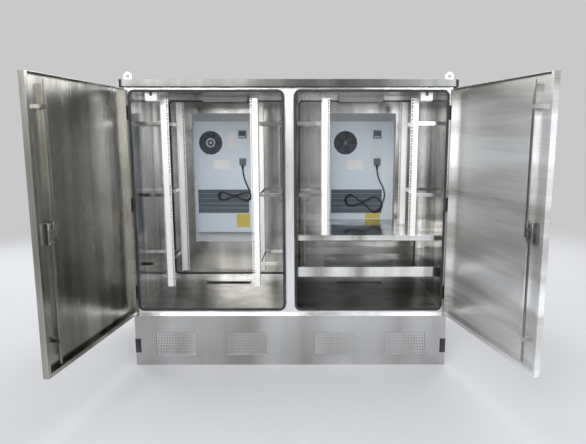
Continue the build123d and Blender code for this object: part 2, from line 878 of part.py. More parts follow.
def cooler():
    """The air conditioner: room-side case, mounting flange and outside chassis with its coil."""
    inner = -door_skin_y
    half = cooler_width / 2
    case = span(-half, half, cooler_face_y, inner - flange_sheet, cooler_low, cooler_high)
    case = chamfer(case.edges().filter_by(Axis.Z).group_by(Axis.Y)[0], cooler_edge)
    flange = span(-flange_width / 2, flange_width / 2, inner - flange_sheet, inner,
                  flange_low, flange_high)
    outer = inner + chassis_depth
    half_chassis = chassis_width / 2
    chassis = span(-half_chassis, half_chassis, inner, outer, chassis_low, chassis_high)
    coil_front = outer - coil_setback
    chassis -= span(-half_chassis, half_chassis, coil_front, outer, coil_low, chassis_high)
    unit = join([case, flange, chassis])
    unit -= fan_seat(inner_fan_x, inner_fan_z, inner_fan_radius,
                     cooler_face_y, cooler_face_y + inner_fan_recess)
    unit -= fan_seat(outer_fan_x, outer_fan_z, outer_fan_radius,
                     outer, outer - outer_fan_recess)
    slat = (louvre_high - louvre_low) / louvre_count
    for row in range(louvre_count):
        z = louvre_low + row * slat
        unit -= span(louvre_x - louvre_width / 2, louvre_x + louvre_width / 2,
                     cooler_face_y, cooler_face_y + louvre_depth, z + louvre_bar, z + slat)
    bezel = span(display_x - display_size / 2, display_x + display_size / 2,
                 cooler_face_y - display_proud, cooler_face_y,
                 display_z - display_size / 2, display_z + display_size / 2)
    gland = span(gland_x - gland_width / 2, gland_x + gland_width / 2,
                 cooler_face_y - gland_depth, cooler_face_y, gland_low, gland_low + gland_height)
    gland = chamfer(gland.faces().sort_by(Axis.Y)[0].edges(), gland_chamfer)
    return join([unit, bezel, gland])


def fan(x, z, radius, front, back):
    """A fan wheel between two planes: a bored hub and pitched blades."""
    middle, depth = (front + back) / 2, abs(back - front)
    hub = bar_y(x, z, front, back, fan_hub_radius, hub_sides)
    root = fan_hub_radius - fan_blade_root
    reach = radius - root
    chord = (depth - 2 * fan_blade_margin) / math.sin(math.radians(fan_blade_pitch_deg))
    blades = []
    for i in range(fan_blades):
        blade = Pos(root + reach / 2, 0, 0) * Rot(fan_blade_pitch_deg, 0, 0)
        blade = blade * Box(reach, fan_blade_sheet, chord)
        spin = Rot(0, 360 / fan_blades * i, 0)
        blades.append(Pos(x, middle, z) * spin * blade)
    wheel = join([hub, *blades])
    bore = fan_axle_radius + fan_axle_clearance
    return wheel - bar_y(x, z, front, back, bore, around=True)


def inner_fan():
    front = cooler_face_y + fan_setback
    back = cooler_face_y + inner_fan_recess - fan_floor_gap
    return fan(inner_fan_x, inner_fan_z, inner_fan_radius - fan_tip_gap, front, back)


def outer_fan():
    mouth = -door_skin_y + chassis_depth
    front, back = mouth - fan_setback, mouth - outer_fan_recess + fan_floor_gap
    return fan(outer_fan_x, outer_fan_z, outer_fan_radius - fan_tip_gap, front, back)


def hood_outline(shrink):
    """The hood's side profile, smaller by a wall, as a face in the YZ plane."""
    back, front = -door_face_y, -door_face_y + hood_depth - shrink
    low, high = hood_low + shrink, hood_high - shrink
    points = [(back, low), (front, low), (front, high - hood_drop), (back, high)]
    return Plane.YZ * make_face(Polyline(*points, close=True))


def hood():
    """The folded rain hood with its sloped top and two windows."""
    half = hood_width / 2
    outer = Pos(-half, 0, 0) * extrude(hood_outline(0), amount=hood_width)
    outer = chamfer(outer.faces().sort_by(Axis.Y)[-1].edges(), hood_edge_chamfer)
    inner_width = hood_width - 2 * hood_sheet
    inner = Pos(hood_sheet - half, 0, 0) * extrude(hood_outline(hood_sheet), amount=inner_width)
    body = outer - inner
    y1 = -door_face_y + hood_depth
    y0 = y1 - hood_sheet
    reach = window_width / 2
    for low, high in ((mesh_window_low, mesh_window_high), (lower_window_low, lower_window_high)):
        body -= span(-reach, reach, y0, y1, low, high)
    return body


def grilles():
    """The square mesh and the slotted sheet, each seated behind a window of the hood."""
    back = -door_face_y + hood_depth - hood_sheet
    layers = (back - mesh_sheet, back)
    reach = window_width / 2 + mesh_border
    windows = ((mesh_window_low, mesh_window_high, mesh_columns, mesh_rows),
               (lower_window_low, lower_window_high, 1, slot_rows))
    sheets = []
    for low, high, columns, rows in windows:
        sheet = span(-reach, reach, *layers, low - mesh_border, high + mesh_border)
        pitch_x, pitch_z = window_width / columns, (high - low) / rows
        for column in range(columns):
            for row in range(rows):
                x = -window_width / 2 + column * pitch_x
                z = low + row * pitch_z
                half = mesh_bar / 2
                sheet -= span(x + half, x + pitch_x - half, *layers,
                              z + half, z + pitch_z - half)
        sheets.append(sheet)
    return sheets


# Power leads

def lead_route(side):
    """Points of a lead from its gland down into its hank, chosen by hand."""
    left = [(107, 1093), (107, 1050), (118, 995), (139, 950), (149, 908)]
    right = [(107, 1093), (107, 1048), (124, 990), (157, 938), (171, 882), (138, 846)]
    y = cooler_face_y - lead_standoff
    return [(x + side * cooler_centre, y, z) for x, z in (left if side < 0 else right)]


def corner_radii(points):
    """The largest even arcs for the corners of a route."""
    radii = []
    for a, b, c in zip(points, points[1:], points[2:]):
        first, second = Vector(*b) - Vector(*a), Vector(*c) - Vector(*b)
        turn = math.radians(first.get_angle(second))
        shorter = min(first.length, second.length)
        radii.append(lead_arc_share * shorter / math.tan(turn / 2))
    return radii


def lead(side):
    """The lead's tube: straight runs joined by arcs."""
    points = lead_route(side)
    radii = corner_radii(points)
    print("lead radii", [round(r) for r in radii])
    path = FilletPolyline(*points, radius=radii)
    start = Plane(origin=path @ 0, z_dir=path % 0)
    section = start * RegularPolygon(lead_radius, lead_sides)
    tube = sweep(section, path=path)
    expected = section.area * path.length
    print("lead length", round(path.length), "volume share", round(tube.volume / expected, 4))
    return tube - hank(side)


def hank(side):
    """The tied bundle that the rest of the lead is folded into: two loops side by side."""
    loops = {
        -1: ((-5, 886, 60, 31), (104, 885, 60, 34)),
        1: ((-46, 857, 60, 44), (90, 829, 60, 60)),
    }[side]
    back = cooler_face_y - hank_standoff
    pieces = []
    for x, z, half_x, half_z in loops:
        plane = Plane(origin=(x + side * cooler_centre, back, z), x_dir=(1, 0, 0),
                      z_dir=(0, -1, 0))
        pieces.append(extrude(plane * oval(half_x, half_z, hub_sides), amount=hank_depth))
    (x0, z0, _, _), (x1, z1, _, _) = loops
    tie_x, tie_z = (x0 + x1) / 2 + side * cooler_centre, (z0 + z1) / 2
    half_x, half_z = hank_tie_width / 2, hank_tie_height / 2
    pieces.append(span(tie_x - half_x, tie_x + half_x, back - hank_depth, back,
                       tie_z - half_z, tie_z + half_z))
    return join(pieces)


# Rack, shelves and lamps

def rack_rail(side, edge, low, face_y, way):
    """One angle rail. edge is its inner edge, way points from its face into the rack."""
    outer = edge + side * rail_face
    face = span(edge, outer, face_y, face_y + way * rail_sheet, low, rail_high)
    wall = span(outer - side * rail_sheet, outer, face_y, face_y + way * rail_side,
                low, rail_high)
    rail = join([face, wall])
    hole_x = edge + side * rail_hole_edge
    count = int((rail_high - low - rail_hole_pitch / 2) // rail_hole_pitch) + 1
    half = rail_hole / 2
    for i in range(count):
        z = rail_high - rail_hole_pitch / 2 - i * rail_hole_pitch
        rail -= span(hole_x - half, hole_x + half, face_y, face_y + way * rail_sheet,
                     z - half, z + half)
    return rail


def rail_faces():
    """The front and rear rail planes, each with the direction into the rack."""
    return (frame_y + rail_front_setback, 1), (frame_y + rail_rear_setback, -1)


def bay_foot(bay):
    """Where a bay's rails end: the left bay's near the floor, the right bay's on the shelf."""
    return rail_low if bay < 0 else shelf_level + shelf_sheet


def rack_rails():
    """Four rails in each bay."""
    rails = []
    for bay in (-1, 1):
        for side in (-1, 1):
            edge = bay * rack_centre + side * rack_opening / 2
            for face_y, way in rail_faces():
                rails.append(rack_rail(side, edge, bay_foot(bay), face_y, way))
    return rails


def arm_levels(bay):
    """The levels of a bay's rail supports, from the top down to the rails' feet."""
    top = rail_high - arm_head_gap
    count = int((top - bay_foot(bay)) // arm_pitch) + 1
    return [top - i * arm_pitch for i in range(count)]


def rail_supports():
    """Folded straps that tie a pair of rails to the wall beside them."""
    (front, _), (rear, _) = rail_faces()
    y0, y1 = front + rail_side - arm_lap, rear - rail_side + arm_lap
    half = arm_height / 2
    supports = []
    for bay in (-1, 1):
        for side in (-1, 1):
            outer = bay * rack_centre + side * (rack_opening / 2 + rail_face)
            at_wall = side == bay
            wall = bay * (half_width - shell_sheet) if at_wall else bay * shell_sheet / 2
            for level in arm_levels(bay):
                strap = span(outer, wall, y0, y1, level - half, level + half)
                strap -= span(outer + side * arm_sheet, wall, y0 + arm_sheet, y1 - arm_sheet,
                              level - half, level + half)
                supports.append(strap)
    return supports


def shelves():
    """The battery shelf and the lower tray of the right bay, from wall to wall."""
    x0 = shell_sheet / 2 + shelf_clearance
    x1 = half_width - shell_sheet - shelf_clearance
    y0 = frame_y + shelf_setback
    y1 = cooler_face_y - shelf_cooler_gap
    trays = []
    for level, lip in ((shelf_level, -shelf_lip), (tray_level, tray_lip)):
        deck = span(x0, x1, y0, y1, level, level + shelf_sheet)
        front = span(x0, x1, y0, y0 + shelf_sheet, level, level + lip)
        ends = [
            span(x, x + step, y0, y1, level, level - shelf_lip)
            for x, step in ((x0, shelf_sheet), (x1, -shelf_sheet))
        ]
        trays.append(join([deck, front, *ends]))
    return trays


def lamps():
    """A lamp switch box and a lamp bar under the ceiling of each bay."""
    boxes = []
    y0 = frame_y + shell_sheet + lamp_frame_gap
    bar_back = -frame_y - bar_lamp_inset
    for side in (-1, 1):
        x = side * lamp_x
        box = span(x - lamp_width / 2, x + lamp_width / 2, y0, y0 + lamp_depth,
                   ceiling_level - lamp_drop, ceiling_level)
        boxes.append(chamfer(box.faces().sort_by(Axis.Z)[0].edges(), lamp_edge))
        x = side * rack_centre
        boxes.append(span(x - bar_lamp_length / 2, x + bar_lamp_length / 2,
                          bar_back - bar_lamp_width, bar_back,
                          ceiling_level - bar_lamp_drop, ceiling_level))
    return boxes


def write(name, shape):
    """One STEP file for a node, which may be a group of separate solids."""
    if isinstance(shape, (list, tuple)):
        shape = Compound(children=list(shape))
    export_step(shape, f"parts/{name}.step")


def main():
    os.makedirs("parts", exist_ok=True)
    write("plinth", plinth())
    write("plinth_vents", plinth_vents())
    write("corner_plugs", corner_plugs())
    write("floor_panel", floor_panel())
    write("body_wrapper", body_wrapper())
    write("partition", partition())
    frame = front_frame()
    write("front_frame", frame)
    write("rear_frame", to_back(frame))
    write("door_seals", door_seals())
    write("roof", roof())
    write("lifting_eyes", lifting_eyes())
    write("hinge_brackets", hinge_brackets())
    write("rack_rails", rack_rails())
    write("rail_supports", rail_supports())
    write("shelves", shelves())
    write("lamps", lamps())

    plain_leaf, cooler_leaf = door_leaf(False), door_leaf(True)
    case, bar, plate, grip = lock_case(), spindle(), handle_plate(), lever()
    rods = {1: lock_rod(1), -1: lock_rod(-1)}
    box, cover = handle_box(), flap()
    for door, place in DOORS.items():
        at_back = door in REAR_SIDES
        write(f"{door}_door", place(cooler_leaf if at_back else plain_leaf))
        write(f"{door}_lock_case", place(case))
        write(f"{door}_spindle", place(bar))
        write(f"{door}_lever", place(grip))
        write(f"{door}_upper_rod", place(rods[1]))
        write(f"{door}_lower_rod", place(rods[-1]))
        if at_back:
            write(f"{door}_handle_box", place(box))
            write(f"{door}_cover_flap", place(cover))
        else:
            write(f"{door}_handle_plate", place(plate))

    unit, shell, sheets = cooler(), hood(), grilles()
    wheels = {"inner_fan": inner_fan(), "outer_fan": outer_fan()}
    for door, side in REAR_SIDES.items():
        seat = Pos(side * cooler_centre, 0, 0)
        write(f"{door}_cooler", seat * unit)
        write(f"{door}_hood", seat * shell)
        write(f"{door}_grilles", [seat * sheet for sheet in sheets])
        for name, wheel in wheels.items():
            write(f"{door}_{name}", seat * wheel)
        write(f"{door}_power_lead", lead(side))
        write(f"{door}_lead_hank", hank(side))


main()
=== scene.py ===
import json
import logging
import math
from abc import ABC, abstractmethod
from collections.abc import Callable, Iterable, Iterator, Mapping, Sequence
from contextlib import contextmanager
from dataclasses import dataclass, field
from enum import Enum

import bmesh
import bpy
from mathutils import Euler, Matrix, Vector

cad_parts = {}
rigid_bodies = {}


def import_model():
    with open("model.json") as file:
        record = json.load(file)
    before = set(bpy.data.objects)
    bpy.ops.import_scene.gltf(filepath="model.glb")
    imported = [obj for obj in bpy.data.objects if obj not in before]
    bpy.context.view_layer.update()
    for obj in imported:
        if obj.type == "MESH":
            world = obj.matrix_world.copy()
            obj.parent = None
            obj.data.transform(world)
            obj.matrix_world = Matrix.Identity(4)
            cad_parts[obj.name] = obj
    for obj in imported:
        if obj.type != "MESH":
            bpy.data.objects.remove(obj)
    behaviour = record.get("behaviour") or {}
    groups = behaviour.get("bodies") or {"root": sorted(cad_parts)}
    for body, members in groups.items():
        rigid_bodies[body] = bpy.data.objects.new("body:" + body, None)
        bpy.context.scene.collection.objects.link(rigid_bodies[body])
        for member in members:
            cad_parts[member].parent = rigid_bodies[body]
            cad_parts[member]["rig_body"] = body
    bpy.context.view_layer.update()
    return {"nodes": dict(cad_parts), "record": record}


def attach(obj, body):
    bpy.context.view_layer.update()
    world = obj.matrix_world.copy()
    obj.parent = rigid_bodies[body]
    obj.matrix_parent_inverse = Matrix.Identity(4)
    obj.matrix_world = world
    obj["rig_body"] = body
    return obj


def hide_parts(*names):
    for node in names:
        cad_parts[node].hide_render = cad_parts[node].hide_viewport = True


# The looks of a free-standing stainless steel street cabinet. Metres, +Z up, -Y to the front.
# Left and right are as seen from the front: left is -X.

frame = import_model()
LOG = logging.getLogger("cabinet")
MM = 0.001

Point = tuple[float, float, float]
Colour = tuple[float, float, float]
Span = tuple[float, float]
Piece = bpy.types.Object
FaceTest = Callable[[Vector, Vector], bool]
EdgeTest = Callable[[Vector, Vector], bool]
PointTest = Callable[[Vector], bool]


# Shader maths

class Signal:
    """What a node gives. A number takes part in sums like any other number."""

    def __init__(self, graph: "Graph", socket: bpy.types.NodeSocket) -> None:
        """Keeps the node tree and the output that the signal comes from."""
        self.graph = graph
        self.socket = socket

    def __add__(self, other: "Signal | float") -> "Signal":
        """This number plus another."""
        return self.graph.sum_of("ADD", self, other)

    def __radd__(self, other: float) -> "Signal":
        """A plain number plus this one."""
        return self.graph.sum_of("ADD", other, self)

    def __sub__(self, other: "Signal | float") -> "Signal":
        """This number less another."""
        return self.graph.sum_of("SUBTRACT", self, other)

    def __rsub__(self, other: float) -> "Signal":
        """A plain number less this one."""
        return self.graph.sum_of("SUBTRACT", other, self)

    def __mul__(self, other: "Signal | float") -> "Signal":
        """This number times another."""
        return self.graph.sum_of("MULTIPLY", self, other)

    def __rmul__(self, other: float) -> "Signal":
        """A plain number times this one."""
        return self.graph.sum_of("MULTIPLY", other, self)

    def between(self, low: float, high: float) -> "Signal":
        """Fades from 0 at low to 1 at high.

        Args:
            low: The number that gives 0.
            high: The number that gives 1.

        Returns:
            The faded number, held between 0 and 1.
        """
        sockets = {"Value": self, "From Min": low, "From Max": high}
        return self.graph.add("MapRange", sockets, interpolation_type="SMOOTHSTEP")


class Graph:
    """The node tree of a material or of the world."""

    def __init__(self, owner: bpy.types.Material | bpy.types.World) -> None:
        """Empties the node tree of its owner."""
        self.owner = owner
        owner.use_nodes = True
        self.tree = owner.node_tree
        self.tree.nodes.clear()

    def add(
        self, kind: str, sockets: Mapping[str | int, object], output: str | int = 0,
        **settings: object,
    ) -> Signal:
        """Adds a node, sets it up, and fills its sockets.

        Args:
            kind: The node's type, without its first word.
            sockets: The value or the link of each socket, by name or by number.
            output: The name or the number of the output that is wanted.
            **settings: What the node itself is set to.

        Returns:
            What the node gives at that output.
        """
        node = self.tree.nodes.new(f"ShaderNode{kind}")
        for name, value in settings.items():
            setattr(node, name, value)
        for name, value in sockets.items():
            if isinstance(value, Signal):
                self.tree.links.new(value.socket, node.inputs[name])
            else:
                node.inputs[name].default_value = value
        return Signal(self, node.outputs[output])

    def sum_of(self, operation: str, first: Signal | float, second: Signal | float) -> Signal:
        """One step of arithmetic on two numbers."""
        return self.add("Math", {0: first, 1: second}, operation=operation)

    def place(self) -> Signal:
        """The point on the piece, in the piece's own metres."""
        return self.add("TexCoord", {}, "Object")

    def along(self, axis: str) -> Signal:
        """The point's coordinate along "X", "Y" or "Z"."""
        return self.add("SeparateXYZ", {0: self.place()}, axis)

    def noise(self, scale: Point, detail: float = 2.0, offset: Point = (0.0, 0.0, 0.0)) -> Signal:
        """Cloudy noise that may be stretched along an axis.

        Args:
            scale: How many patches there are to a metre, along each axis.
            detail: How many finer layers lie on it.
            offset: A shift of the pattern, so that two patterns differ.

        Returns:
            The noise, about 0 to 1 and mostly near 0.5.
        """
        spot = self.add("Mapping", {"Vector": self.place(), "Scale": scale, "Location": offset})
        return self.add("TexNoise", {"Vector": spot, "Scale": 1.0, "Detail": detail})

    def cells(self, scale: float) -> Signal:
        """Flat crystal patches, so many to a metre, each with a shade of its own."""
        patches = self.add("TexVoronoi", {"Vector": self.place(), "Scale": scale}, "Color")
        return self.add("SeparateColor", {0: patches})

    def blend(self, share: Signal, first: Colour, second: Colour) -> Signal:
        """Fades from the first colour to the second as share goes from 0 to 1."""
        sockets = {0: share, 6: (*first, 1.0), 7: (*second, 1.0)}
        return self.add("Mix", sockets, 2, data_type="RGBA")

    def relief(self, height: Signal) -> Signal:
        """Turns a height in metres into a surface direction."""
        return self.add("Bump", {"Height": height, "Distance": 1.0, "Strength": 1.0})

    def surface(self, sockets: Mapping[str | int, object]) -> bpy.types.Material:
        """Ends the material in one principled surface with these sockets."""
        return self.show(self.add("BsdfPrincipled", sockets))

    def show(self, shader: Signal, kind: str = "Material") -> bpy.types.Material | bpy.types.World:
        """Leads a shader to the output and gives the tree's owner."""
        output = self.tree.nodes.new(f"ShaderNodeOutput{kind}")
        self.tree.links.new(shader.socket, output.inputs[0])
        return self.owner


# Finishes

@dataclass(frozen=True)
class Finish(ABC):
    """How a surface looks. Each finish makes its material once."""

    name: str

    def material(self) -> bpy.types.Material:
        """The material of this finish, apart from the model's plain one of the same name."""
        name = f"{self.name}_finish"
        known = bpy.data.materials.get(name)
        return known or self.build(Graph(bpy.data.materials.new(name)))

    @abstractmethod
    def build(self, graph: Graph) -> bpy.types.Material:
        """Fills the material's node tree."""

    def dress(self, piece: Piece) -> None:
        """Gives a piece this finish all over."""
        piece.data.materials.clear()
        piece.data.materials.append(self.material())

    def cover(self, piece: Piece, wanted: FaceTest) -> None:
        """Gives this finish to those faces of a piece whose middle and normal pass a test."""
        piece.data.materials.append(self.material())
        last = len(piece.data.materials) - 1
        for face in piece.data.polygons:
            if wanted(face.center, face.normal):
                face.material_index = last


@dataclass(frozen=True)
class BrushedSteel(Finish):
    """Stainless sheet with fine grain one way, soft bands and a slight wave."""

    light: Colour = (0.57, 0.572, 0.57)
    shade: Colour = (0.36, 0.354, 0.335)
    roughness: float = 0.2
    grain: Point = (420.0, 420.0, 3.0)
    bands: Point = (9.0, 9.0, 0.5)
    clouds: Point = (1.7, 1.7, 1.3)
    wave_height: float = 0.008
    metallic: float = 1.0

    def build(self, graph: Graph) -> bpy.types.Material:
        """Streaked tint and gloss over a gentle wave."""
        grain = graph.noise(self.grain, 3.0)
        bands = graph.noise(self.bands, 4.0, (5.0, 2.0, 7.0))
        clouds = graph.noise(self.clouds, 3.0, (1.0, 8.0, 3.0))
        smudges = graph.noise((11.0, 11.0, 8.0), 1.0, (9.0, 4.0, 2.0)).between(0.45, 0.75)
        waves = graph.noise((2.3, 2.3, 1.3), 0.0)
        tone = (bands * 0.52 + clouds * 0.42 + grain * 0.06).between(0.38, 0.62)
        roughness = self.roughness + 0.08 * (grain - 0.5) + 0.12 * (bands - 0.5) + 0.04 * smudges
        return graph.surface({
            "Base Color": graph.blend(tone, self.shade, self.light),
            "Metallic": self.metallic,
            "Roughness": roughness,
            "Normal": graph.relief(waves * self.wave_height),
        })


@dataclass(frozen=True)
class ZincSteel(Finish):
    """Bright zinc-plated steel with faint crystal patches."""

    light: Colour = (0.93, 0.925, 0.91)
    shade: Colour = (0.84, 0.835, 0.82)
    roughness: float = 0.38

    def build(self, graph: Graph) -> bpy.types.Material:
        """Crystal patches under a soft sheen."""
        crystals = graph.cells(90.0)
        dust = graph.noise((30.0, 30.0, 12.0), 4.0)
        return graph.surface({
            "Base Color": graph.blend(crystals * 0.5 + dust * 0.5, self.shade, self.light),
            "Metallic": 0.45,
            "Roughness": self.roughness + 0.1 * (crystals - 0.5) + 0.1 * (dust - 0.5),
            "Normal": graph.relief(dust * 0.0001),
        })


@dataclass(frozen=True)
class Paint(Finish):
    """Sprayed paint with a fine peel and a little dust."""

    colour: Colour
    dust: Colour
    roughness: float = 0.4
    peel: float = 0.00006
    coat: float = 0.0

    def build(self, graph: Graph) -> bpy.types.Material:
        """Even paint, dusted in soft patches, over a pebbled skin."""
        peel = graph.noise((420.0, 420.0, 420.0), 1.0)
        dust = graph.noise((6.0, 6.0, 3.0), 5.0).between(0.42, 0.74)
        streaks = graph.noise((40.0, 40.0, 2.0), 3.0).between(0.45, 0.7)
        return graph.surface({
            "Base Color": graph.blend(dust * 0.6 + streaks * 0.25, self.colour, self.dust),
            "Roughness": self.roughness + 0.12 * dust + 0.04 * streaks,
            "Coat Weight": self.coat,
            "Normal": graph.relief(peel * self.peel),
        })


@dataclass(frozen=True)
class Rubber(Finish):
    """Black rubber, greyer where dust lies on it."""

    colour: Colour = (0.012, 0.012, 0.013)
    bloom: Colour = (0.05, 0.05, 0.052)
    roughness: float = 0.5

    def build(self, graph: Graph) -> bpy.types.Material:
        """Dark skin with a pale bloom."""
        skin = graph.noise((350.0, 350.0, 350.0), 2.0)
        bloom = graph.noise((14.0, 14.0, 9.0), 5.0).between(0.45, 0.75)
        return graph.surface({
            "Base Color": graph.blend(bloom, self.colour, self.bloom),
            "Roughness": self.roughness + 0.2 * bloom + 0.08 * (skin - 0.5),
            "Normal": graph.relief(skin * 0.00008),
        })


@dataclass(frozen=True)
class Plastic(Finish):
    """Moulded plastic with a fine texture."""

    colour: Colour
    shade: Colour
    roughness: float = 0.45
    texture: float = 0.00004

    def build(self, graph: Graph) -> bpy.types.Material:
        """Slightly uneven colour over a fine grain."""
        grain = graph.noise((700.0, 700.0, 700.0), 1.0)
        tone = graph.noise((10.0, 10.0, 10.0), 4.0).between(0.35, 0.7)
        return graph.surface({
            "Base Color": graph.blend(tone, self.colour, self.shade),
            "Roughness": self.roughness + 0.1 * (tone - 0.5) + 0.05 * (grain - 0.5),
            "Normal": graph.relief(grain * self.texture),
        })


@dataclass(frozen=True)
class Chrome(Finish):
    """Polished plating with faint finger marks."""

    colour: Colour = (0.86, 0.88, 0.91)
    roughness: float = 0.07

    def build(self, graph: Graph) -> bpy.types.Material:
        """A mirror that is dulled in small patches."""
        marks = graph.noise((60.0, 60.0, 40.0), 5.0).between(0.5, 0.75)
        polish = graph.noise((300.0, 300.0, 60.0), 2.0)
        return graph.surface({
            "Base Color": graph.blend(marks * 0.5, self.colour, (0.7, 0.72, 0.76)),
            "Metallic": 1.0,
            "Roughness": self.roughness + 0.12 * marks + 0.03 * polish,
        })


@dataclass(frozen=True)
class Glow(Finish):
    """A lamp's milky cover."""

    colour: Colour = (0.92, 0.94, 0.96)

    def build(self, graph: Graph) -> bpy.types.Material:
        """Milky plastic with fine ribs of tone."""
        tone = graph.noise((120.0, 6.0, 6.0), 2.0)
        return graph.surface({
            "Base Color": graph.blend(tone, self.colour, (0.8, 0.83, 0.86)),
            "Roughness": 0.35 + 0.1 * tone,
        })


@dataclass(frozen=True)
class PaleFloor(Finish):
    """A pale floor that fades into the backdrop."""

    colour: Colour
    backdrop: Colour
    near: float = 2.2
    far: float = 6.0

    def build(self, graph: Graph) -> bpy.types.Material:
        """Matt floor near the cabinet, plain backdrop further out."""
        x, y = graph.along("X"), graph.along("Y")
        far = (x * x + y * y).between(self.near**2, self.far**2)
        matt = graph.add("BsdfDiffuse", {0: (*self.colour, 1.0)})
        plain = graph.add("Emission", {0: (*self.backdrop, 1.0)})
        return graph.show(graph.add("MixShader", {0: far, 1: matt, 2: plain}))


STAINLESS = BrushedSteel("stainless_sheet")
# Painted light: a brighter copy of the stainless steel for the face frames, which stand in the full
# front light.
LIT_FRAME_STEEL = BrushedSteel("frame_painted_light", (0.88, 0.89, 0.91), (0.60, 0.603, 0.605), 0.24)
WALL_STEEL = BrushedSteel(
    "wall_steel", (0.80, 0.80, 0.79), (0.24, 0.235, 0.215), 0.13, wave_height=0.014
)
# Painted dark reflection: the left front door's inner face gets a dark olive-grey streaked tone
# that stands in for the bay mirrored in the steel.
DARK_REFLECTION_DOOR = BrushedSteel(
    "dark_door_steel", (0.57, 0.56, 0.52), (0.25, 0.243, 0.212), 0.24, wave_height=0.008
)
# Painted bright reflection: the right front door's inner face gets a pale tone with wide horizontal
# bands, and is partly diffuse (metallic 0.6) so it stays bright where it mirrors the dark bays.
BRIGHT_REFLECTION_DOOR = BrushedSteel(
    "bright_door_steel", (0.97, 0.975, 0.985), (0.36, 0.35, 0.325), 0.3, (3.0, 3.0, 260.0),
    (0.35, 0.35, 5.6), (0.5, 0.5, 2.6), 0.004, 0.6,
)
# Painted shade: near-black steel for the roof's upright edge faces, darker than the roof's own
# steel.
ROOF_EDGE_SHADE = BrushedSteel("roof_edge_painted_shade", (0.13, 0.13, 0.127), (0.07, 0.07, 0.067), 0.22)
# Painted shade: a darker copy of the stainless steel for the floor panel, which lies in the shade
# of the bays.
BAY_FLOOR_SHADE = BrushedSteel("bay_floor_painted_shade", (0.27, 0.266, 0.255), (0.12, 0.117, 0.108), 0.3)
BASE_STEEL = BrushedSteel(
    "base_steel", (0.68, 0.685, 0.70), (0.33, 0.318, 0.29), 0.22, (3.0, 3.0, 420.0),
    (2.4, 2.4, 0.4), (1.3, 1.3, 0.3),
)
STAINLESS_DARK = BrushedSteel(
    "perforated_sheet", (0.78, 0.78, 0.78), (0.6, 0.6, 0.595), 0.36, wave_height=0.0
)
ZINC = ZincSteel("zinc_rail")
WIRE = BrushedSteel("mesh_wire", (0.74, 0.76, 0.79), (0.6, 0.61, 0.63), 0.3, wave_height=0.0)
MACHINED = BrushedSteel(
    "steel_parts", (0.5, 0.5, 0.5), (0.34, 0.34, 0.33), 0.3, wave_height=0.0
)
CHROME = Chrome("chrome_lever")
BLACK_HINGE = Paint("black_hinge", (0.012, 0.012, 0.014), (0.04, 0.04, 0.042), 0.38)
BLACK_LOCK = Paint("black_lock", (0.03, 0.03, 0.034), (0.08, 0.08, 0.085), 0.42)
BLUE_BLACK = Paint("blue_black", (0.012, 0.018, 0.035), (0.04, 0.045, 0.06), 0.3, coat=0.4)
RUBBER = Rubber("black_rubber")
LEAD_RUBBER = Rubber("lead_rubber", (0.01, 0.01, 0.012), (0.03, 0.03, 0.034), 0.42)
CASING = Paint("cooler_casing", (0.68, 0.77, 0.87), (0.72, 0.77, 0.82), 0.36)
SLATE = Paint("slate_panel", (0.19, 0.235, 0.275), (0.23, 0.26, 0.29), 0.42)
COIL = Paint("coil_fins", (0.05, 0.068, 0.09), (0.11, 0.13, 0.15), 0.45)
CHASSIS_GREY = Paint("chassis_grey", (0.30, 0.32, 0.34), (0.38, 0.39, 0.4), 0.4)
FLANGE_WHITE = Paint("flange_white", (0.74, 0.76, 0.79), (0.66, 0.68, 0.7), 0.3)
FITTING_GREY = Paint("fitting_grey", (0.10, 0.115, 0.135), (0.16, 0.17, 0.19), 0.4)
GUARD_WIRE = Paint("guard_wire", (0.17, 0.2, 0.235), (0.22, 0.25, 0.28), 0.4)
PALE_WIRE = Paint("pale_wire", (0.5, 0.54, 0.58), (0.45, 0.47, 0.5), 0.4)
LOCK_STEEL = BrushedSteel(
    "lock_steel", (0.55, 0.55, 0.54), (0.26, 0.26, 0.25), 0.28, wave_height=0.0
)
SCREEN = Paint("screen_glass", (0.02, 0.03, 0.045), (0.04, 0.05, 0.06), 0.12, coat=0.8)
FAN_BLACK = Plastic("fan_plastic", (0.035, 0.04, 0.048), (0.06, 0.066, 0.074))
LAMP_WHITE = Plastic("lamp_plastic", (0.86, 0.87, 0.86), (0.74, 0.75, 0.74), 0.4)
LAMP_COVER = Glow("lamp_cover")
BLANK_WHITE = Plastic("blank_plate", (0.88, 0.89, 0.9), (0.8, 0.81, 0.83), 0.5)
FADED_YELLOW = Plastic("yellow_plate", (0.72, 0.56, 0.08), (0.62, 0.5, 0.12), 0.5)

SLOT_FINISHES: dict[str, Finish] = {
    "stainless_sheet": STAINLESS,
    "perforated_sheet": STAINLESS_DARK,
    "zinc_rail": ZINC,
    "mesh_wire": WIRE,
    "steel_parts": MACHINED,
    "chrome_lever": CHROME,
    "black_hinge": BLACK_HINGE,
    "black_lock": BLACK_LOCK,
    "black_handle": BLUE_BLACK,
    "black_rubber": RUBBER,
    "cooler_casing": CASING,
    "fan_plastic": FAN_BLACK,
    "lead_rubber": LEAD_RUBBER,
    "lamp_plastic": LAMP_WHITE,
}
NODE_FINISHES: dict[str, Finish] = {
    # brighter steel: painted light
    "front_frame": LIT_FRAME_STEEL,
    "rear_frame": LIT_FRAME_STEEL,
    "body_wrapper": WALL_STEEL,
    "partition": WALL_STEEL,
    # darker steel: painted shade
    "floor_panel": BAY_FLOOR_SHADE,
    "shelves": WALL_STEEL,
    "rail_supports": WALL_STEEL,
    "plinth": BASE_STEEL,
}


def finish_of(node: str) -> tuple[Finish, str]:
    """The look of a node of the model, and its slot in the record."""
    part = next(row for row in frame["record"]["subparts"] if row["node"] == node)
    slot = part["material_slot"]
    own = LOCK_STEEL if node.endswith("lock_case") else SLOT_FINISHES[slot]
    return NODE_FINISHES.get(node, own), slot


# Modelling

